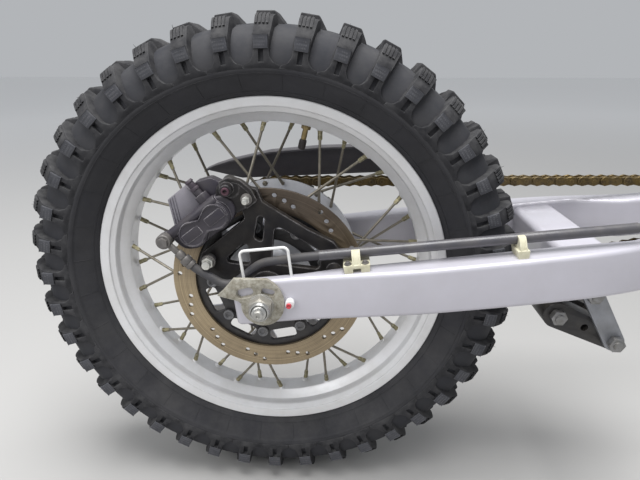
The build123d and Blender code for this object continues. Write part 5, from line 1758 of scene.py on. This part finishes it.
@dataclass
class HoseEnd:
    """Banjo on the caliper and both crimped ends of the brake hose."""

    eye: tuple[float, float] = (-118.1, 68.3)
    bend: tuple[float, float] = (-84.0, 33.0)
    across: float = -94.0
    steps: tuple[tuple[float, float, float], ...] = ((0.0, 22.0, 3.9), (20.5, 29.5, 5.6), (29.0, 31.0, 5.0),
                                                     (30.5, 38.5, 7.1), (38.1, 39.6, 6.4), (39.2, 44.5, 6.9))

    def run(self, along: float) -> Vector:
        """Place on the hose's line.

        Args:
            along: millimetres from the eye's middle.

        Returns:
            The place in metres.
        """
        start, end = Vector((*self.eye, 0.0)), Vector((*self.bend, 0.0))
        place = start + (end - start).normalized() * along
        return at_axle(place.x, self.across, place.y)

    def build(self) -> None:
        """Model the eye, its bolt, the neck and the stepped ferrule."""
        parts = [soften(rod("step", self.run(low), self.run(high), radius, 28), 0.6, 2, 50.0)
                 for low, high, radius in self.steps]
        x, z = self.eye
        eye = soften(rod("eye", at_axle(x, -101.0, z), at_axle(x, -87.0, z), 9.0, 32), 1.4, 3, 50.0)
        head = soften(rod("head", at_axle(x, -104.8, z), at_axle(x, -100.8, z), 6.9, 6), 0.7, 2)
        near_half = block("near_half", at_axle(-100.0, -94.0, 50.0), (90.0, 60.0, 90.0))
        far = rounded_copy("hose_fittings", 0.9, near_half)
        fit("hose_ends", [*parts, eye, head, far], CREASE, SWINGARM, DULL_STEEL, "axle", "hose_fittings")


@dataclass
class AxleEnd:
    """Chamfered nut with its collar, the axle's thread, and the caps of the stop pins."""

    across: float = 26.0
    nut_face: float = -139.0
    collar: float = 11.4
    thread: float = 8.4
    radius: float = 8.5
    tip: float = 6.3
    tip_length: float = 4.4
    pitch: float = 1.5
    end: float = -151.4
    head_end: float = 132.8
    cap_place: Point = (33.5, 3.0)

    def nut(self) -> list[Piece]:
        """Hexagon nut whose corners are turned off at the front, and its washer."""
        corner = self.across / math.sqrt(3)
        body = rod("nut", at_axle(0, self.nut_face, 0), at_axle(0, -125.0, 0), corner, 6)
        cone = lathe("cone", [(0.2, -124.0), (corner + 1.0, -124.0), (corner + 1.0, -134.0),
                              (self.collar, -139.6), (0.2, -139.6)], 64)
        cut(body, cone, operation="INTERSECT")
        washer = rod("washer", at_axle(0, -125.2, 0), at_axle(0, -123.0, 0), 15.0, 48)
        return [soften(body, 0.5, 2, 25.0), soften(washer, 0.4, 2)]

    def shaft(self) -> list[Piece]:
        """The axle from its head to its rolled thread, with the collar on the nut's face."""
        collar = lathe("collar", [(9.1, -138.5), (9.1, -142.4), (9.8, -143.4), (10.8, -143.2), (12.0, -141.4),
                                  (12.2, -138.5)], 64)
        ridges = []
        place = self.nut_face + 1.0
        shoulder = self.end + self.tip_length
        while place > shoulder + 2.0:
            ridges += [(self.thread, place - 0.7), (self.thread - 0.8, place - self.pitch)]
            place -= self.pitch
        rolled = lathe("thread", [(0.3, 122.5), (self.radius, 122.5), (self.radius, self.nut_face + 2.0),
                                  *ridges, (self.thread, shoulder + 0.8), (self.thread - 1.0, shoulder),
                                  (self.tip, shoulder - 0.1), (self.tip, self.end + 1.2),
                                  (self.tip - 1.2, self.end), (2.2, self.end), (1.6, self.end + 1.2),
                                  (0.3, self.end + 1.2)], 48)
        head = rod("head", at_axle(0, 123.0, 0), at_axle(0, self.head_end, 0), self.across / math.sqrt(3), 6)
        return [collar, rolled, soften(head, 0.9, 2)]

    def caps(self) -> None:
        """White sleeve of each stop pin, with the red end of the right one."""
        x, z = self.cap_place
        place = Matrix.Translation(AXLE)
        sleeve = soften(bar("sleeve", place, (x, -127.0, z), (x, -118.0, z), 5.4, 32), 0.8, 3)
        fit("stop_caps", copies(sleeve, BOTH_SIDES), CREASE, SWINGARM, WHITE_CAP, "stop", "cam_stop_pins")
        red = bar("red_end", place, (x - 0.8, -129.8, z - 0.8), (x - 0.8, -126.0, z - 0.8), 3.1, 28)
        dish(red, lambda _, normal: normal.y < -0.95, (1.2, 0.0), (0.3, -0.8))
        seat(soften(red, 0.3, 2), SWINGARM, RED_DOT, "stop")

    def build(self) -> None:
        """Model the nut, the thread and the caps."""
        fit("axle_nut_turned", self.nut(), CREASE, SWINGARM, NUT_ZINC, "axle", "axle_nut")
        fit("axle_shaft", self.shaft(), SOFT_CREASE, SWINGARM, AXLE_STEEL, "axle", "axle")
        self.caps()


@dataclass
class CarrierBolts:
    """Bolts that hold the disc, each head dished with a driving socket."""

    rim_width: float = 1.5
    socket_width: float = 1.9

    def build(self) -> None:
        """Round the bolts and sink their heads."""
        bolts = rounded_copy("carrier_bolts", 0.6)
        face = min(vertex.co.y for vertex in bolts.data.vertices) + 0.2 * MM
        dish(bolts, lambda middle, normal: normal.y < -0.95 and middle.y < face, (self.rim_width, 0.0),
             (0.3, -0.5), (self.socket_width - 0.9, 0.0), (0.2, -1.6))
        seat(smooth(bolts), WHEEL, DARK_BOLT, "bolt", "carrier_bolts")


@dataclass
class Valve:
    """Valve with its lock nut at the rim, bare stem and ribbed cap."""

    angle: float = 13.5
    well: float = 204.0
    length: float = 34.0
    stem: float = 3.4
    cap: float = 4.9
    ribs: int = 12
    threads: int = 5

    def run(self, name: str, low: float, high: float, radius: float, sides: int = 28) -> Piece:
        """A bar along the valve.

        Args:
            name: the piece's name.
            low: its inner end's distance from the axle.
            high: its outer end's distance from the axle.
            radius: its radius.
            sides: corners of a ring.

        Returns:
            The bar.
        """
        return rod(name, polar(low, self.angle), polar(high, self.angle), radius, sides)

    def build(self) -> None:
        """Model the stem with its nut, and the cap."""
        cap_end, cap_start = self.well - self.length - 3.0, self.well - self.length + 10.0
        nut = soften(self.run("nut", 193.0, 198.0, 6.2, 6), 0.5, 2)
        threads = [cap_start + 2.0 + 1.7 * number for number in range(self.threads)]
        stem = [self.run("stem", cap_start - 2.0, self.well, self.stem), nut,
                *(self.run("thread", place, place + 0.8, self.stem + 0.35) for place in threads)]
        fit("valve_body", stem, CREASE, WHEEL, VALVE_BRASS, "hose", "valve_stem")
        shell = soften(self.run("shell", cap_end, cap_start, self.cap - 0.4), 1.1, 3)
        rib = block("rib", at_axle(self.cap - 0.5, 0.0, 0.0), (0.8, 1.1, 9.0))
        out = Matrix.Rotation(math.radians(self.angle), 4, "Y")
        middle = Matrix.Translation(polar((cap_end + cap_start) / 2, self.angle)) @ out
        spins = [Matrix.Rotation(math.tau * number / self.ribs, 4, "Z") for number in range(self.ribs)]
        ribs = copies(rib, [middle @ spin @ Matrix.Translation(-AXLE) for spin in spins])
        fit("valve_cap", [shell, *ribs], CREASE, WHEEL, VALVE_CAP, "hose")


@dataclass
class Cams:
    """Adjuster cams, each with two windows that open wider at its outer face."""

    windows: tuple[tuple[float, float, float, float, float], ...] = ((-19.0, 15.0, 15.0, 20.4, 12.0),
                                                                     (8.0, 16.5, -12.0, 16.2, 9.2))
    face: float = 126.0
    floor: float = 119.5

    def window(self, x: float, z: float, lean: float, length: float, width: float) -> list[Point]:
        """Outline of a window, its ends round.

        Args:
            x: how far its middle lies ahead of the axle.
            z: how far its middle lies above the axle.
            lean: its slope in degrees.
            length: its length.
            width: its width.

        Returns:
            The outline.
        """
        half, rise = length / 2, width / 2
        turn = Matrix.Rotation(math.radians(lean), 2)
        corners = [(-half, -rise), (-half, rise), (half, rise), (half, -rise)]
        return [tuple(turn @ Vector(point) + Vector((x, z))) for point in rounded(corners, rise * 0.98, 6)]

    def build(self) -> None:
        """Round both cams and open their windows."""
        for node, side in (("snail_cam_right", -1.0), ("snail_cam_left", 1.0)):
            low, high = sorted((side * self.floor, side * self.face))
            cam = rounded_copy(node, 0.7, *(slab("window", self.window(*window), low, high)
                                            for window in self.windows))
            seat(cam, SWINGARM, CAM_ZINC, "cam", node)


@dataclass
class Clips:
    """Clips that hold the guard pipe: a base on the arm, and a strap that hooks up round the pipe's front."""

    table: tuple[tuple[float, float, float, bool], ...] = (
        (-444.0, 31.6, 10.0, True), (-257.0, 14.0, 8.0, False))
    foot: float = 26.6
    base_top: float = 38.0
    base_draft: float = 1.4
    front: float = -117.3
    back: float = -92.0
    strap_front: tuple[Point, ...] = ((-109.0, 51.8), (-112.5, 47.0), (-116.2, 38.0), (-116.2, 36.0))
    pipe: Point = (-100.0, 47.0)
    bore: float = 6.3
    bore_steps: int = 11
    window_half: float = 4.6
    window_top: float = 33.2
    window_depth: float = 9.0
    screw_spread: float = 10.1
    screw_line: float = -112.9

    def base(self, x: float, length: float, window: bool) -> Piece:
        """Block on the arm, a little wider at its top.

        Args:
            x: its middle along the arm.
            length: its length at the top.
            window: whether a small window is cut in its face.

        Returns:
            The block.
        """
        top, low = length / 2, length / 2 - self.base_draft
        outline = rounded([(x - low, self.foot), (x - top, self.base_top), (x + top, self.base_top),
                           (x + low, self.foot)], 1.8)
        base = slab("base", outline, self.front, self.back, at_arm())
        if window:
            half, floor = self.window_half, self.foot - 2.0
            hole = rounded([(x - half, floor), (x - half, self.window_top), (x + half, self.window_top),
                            (x + half, floor)], 1.2)
            cut(base, slab("window", hole, self.front - 1.0, self.front + self.window_depth, at_arm()))
        return soften(base, 0.8, 2, 40.0)

    def strap(self, x: float, width: float) -> list[Piece]:
        """Hook round the pipe, open at its top, with a raised rib along each side of its front.

        Args:
            x: its middle along the arm.
            width: its width along the arm.

        Returns:
            The strap and its ribs.
        """
        middle, height = self.pipe
        section = [(middle - 4.4, height + 5.6), *self.strap_front, (self.back, self.base_top - 1.0),
                   (self.back, height + 1.0), (self.back - 0.8, height + 2.2)]
        for step in range(self.bore_steps):
            turn = math.radians(15.0 - step * 24.5)
            section.append((middle + self.bore * math.cos(turn), height + self.bore * math.sin(turn)))
        rib = [(y - 0.8, z + 0.5) for y, z in self.strap_front[:-1]] + [self.strap_front[-1]]
        rib += [(y + 2.5, z - 1.0) for y, z in reversed(self.strap_front)]
        place = at_arm()
        parts = []
        for outline, low, high in ((section, -0.5, 0.5), (rib, -0.5, -0.3), (rib, 0.3, 0.5)):
            corners = [place @ (Vector((x + low * width, y, z)) * MM) for y, z in outline]
            run = place.to_3x3() @ Vector(((high - low) * width * MM, 0.0, 0.0))
            parts.append(soften(prism("strap", corners, run), 0.5, 2, 40.0))
        return parts

    def screws(self, x: float) -> list[Piece]:
        """A round-headed screw with its washer on each side of the strap.

        Args:
            x: the clip's middle along the arm.

        Returns:
            The screws and washers.
        """
        parts = []
        for u in (x - self.screw_spread, x + self.screw_spread):
            for low, high, radius, end in ((0.0, 1.4, 4.3, 4.3), (1.4, 3.6, 3.0, 2.4)):
                part = bar("screw", at_arm(), (u, self.screw_line, self.base_top + low),
                           (u, self.screw_line, self.base_top + high), radius, 28, end)
                parts.append(soften(part, 0.3, 2, 40.0))
        return parts

    def build(self) -> None:
        """Model both clips and the screws of the longer one."""
        parts, screws = [], []
        for x, length, width, screwed in self.table:
            parts += [self.base(x, length, screwed), *self.strap(x, width)]
            if screwed:
                screws += self.screws(x)
        fit("pipe_clips", parts, CREASE, SWINGARM, CREAM_CLIP, "clip", "hose_clips")
        fit("clip_screws", screws, CREASE, SWINGARM, DULL_STEEL, "bolt")


@dataclass
class RoundedPieces:
    """Solids whose own shape is kept and whose edges are rounded as cast or stamped."""

    table: tuple[tuple[str, str, str, float], ...] = (
        ("caliper_bracket", SWINGARM, "bracket", 1.6), ("disc_carrier", WHEEL, "carrier", 0.7),
        ("hub", WHEEL, "hub", 0.8), ("sprocket", WHEEL, "sprocket", 0.5),
        ("cush_drum", WHEEL, "hub", 0.8), ("chain_guard", SWINGARM, "guard", 1.0),
        ("rocker", SWINGARM, "rocker", 1.6), ("link_rods", SWINGARM, "link", 1.4),
        ("bridge", SWINGARM, "arm", 1.5),
        ("sprocket_bolts", WHEEL, "bolt", 0.7),
        ("link_bolts", SWINGARM, "bolt", 0.8), ("brake_disc", WHEEL, "disc", 0.35))

    def build(self) -> None:
        """Copy, round and seat every solid of the table."""
        for node, body, slot, width in self.table:
            seat(rounded_copy(node, width), body, NODE_FINISH[node], slot, node)


@dataclass
class Studio:
    """Camera, floor and light round the object."""

    lens: float = 28.125
    sensor: float = 36.0
    nearest: float = 0.01
    eye: tuple[float, float, float] = (-0.46384, -0.64485, 0.21315)
    right: tuple[float, float, float] = (0.999, 0.0447, 0.0)
    up: tuple[float, float, float] = (-0.0154, 0.3451, 0.9384)
    ahead: tuple[float, float, float] = (-0.04195, 0.93752, -0.34539)
    floor_height: float = -0.3905
    floor_side: float = 30.0
    sky: float = 0.48
    lamps: tuple[tuple[str, tuple[float, float, float], float, float], ...] = (
        ("overhead", (-0.5, -0.3, 2.2), 1.7, 88.0), ("side", (-1.9, -1.6, 1.3), 1.4, 20.0))
    # The floor's colour near the object, and painted light that makes it paler far off.
    floor_near: tuple[float, ...] = (0.45, 0.443, 0.432, 1.0)
    floor_far_painted_light: tuple[float, ...] = (0.93, 0.93, 0.93, 1.0)
    painted_light_reach: tuple[float, float] = (0.7, 6.0)
    floor_roughness: float = 0.9
    sky_colour: tuple[float, ...] = (0.93, 0.96, 1.0, 1.0)
    lit: tuple[float, float, float] = (-0.5, 0.0, -0.1)

    def camera(self) -> None:
        """Stand the camera where the photograph was taken from."""
        data = bpy.data.cameras.new("camera")
        data.lens = self.lens
        data.sensor_width = self.sensor
        data.clip_start = self.nearest
        camera = bpy.data.objects.new("camera", data)
        bpy.context.scene.collection.objects.link(camera)
        columns = Matrix((self.right, self.up, [-value for value in self.ahead])).transposed()
        camera.matrix_world = Matrix.Translation(self.eye) @ columns.to_4x4()
        bpy.context.scene.camera = camera

    def floor(self) -> None:
        """Lay a plain floor, painted paler away from the object: painted light on the far floor, which only
        the sky lights.
        """
        fresh_start()
        bpy.ops.mesh.primitive_plane_add(size=self.floor_side, location=(0.0, 0.0, self.floor_height))
        floor = bpy.context.view_layer.objects.active
        floor.name = "floor"
        material = bpy.data.materials.new("Floor")
        material.use_nodes = True
        tree = material.node_tree
        shader = tree.nodes["Principled BSDF"].inputs
        place = add_node(tree, "TexCoord").outputs["Object"]
        # Painted light: the floor pales with distance from the object.
        away = add_node(tree, "VectorMath", {0: place}, operation="LENGTH")
        share = add_node(tree, "MapRange", {"Value": away.outputs["Value"], "From Min": self.painted_light_reach[0],
                                            "From Max": self.painted_light_reach[1]}, interpolation_type="SMOOTHSTEP")
        tree.links.new(blend(tree, share.outputs[0], self.floor_near, self.floor_far_painted_light), shader["Base Color"])
        shader["Roughness"].default_value = self.floor_roughness
        floor.data.materials.append(material)

    def lights(self) -> None:
        """Hang soft lamps and light the sky evenly."""
        world = bpy.data.worlds.new("sky")
        bpy.context.scene.world = world
        world.use_nodes = True
        sky = world.node_tree.nodes["Background"]
        sky.inputs["Color"].default_value = self.sky_colour
        sky.inputs["Strength"].default_value = self.sky
        for name, place, size, watts in self.lamps:
            lamp = bpy.data.lights.new(name, "AREA")
            lamp.size = size
            lamp.energy = watts
            thing = bpy.data.objects.new(name, lamp)
            bpy.context.scene.collection.objects.link(thing)
            thing.location = place
            thing.rotation_euler = (Vector(self.lit) - Vector(place)).to_track_quat("-Z", "Y").to_euler()

    def build(self) -> None:
        """Set up the whole stage."""
        bpy.context.scene.view_settings.view_transform = "Standard"
        self.camera()
        self.floor()
        self.lights()


def dress_solids() -> None:
    """Give every solid its finish."""
    for name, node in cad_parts.items():
        node.data.materials.clear()
        node.data.materials.append(NODE_FINISH[name].material())


def main() -> None:
    """Build the whole scene."""
    logging.basicConfig(level=logging.INFO, format="%(name)s: %(message)s")
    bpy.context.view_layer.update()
    Studio().build()
    dress_solids()
    spokes = Spokes()
    Rim().build(spokes)
    for builder in (Tyre(), spokes, Chain(), Arms(), Caliper(), HoseEnd(), AxleEnd(), Cams(), CarrierBolts(),
                    Valve(), Clips(), RoundedPieces()):
        builder.build()


if __name__ == "__main__":
    main()
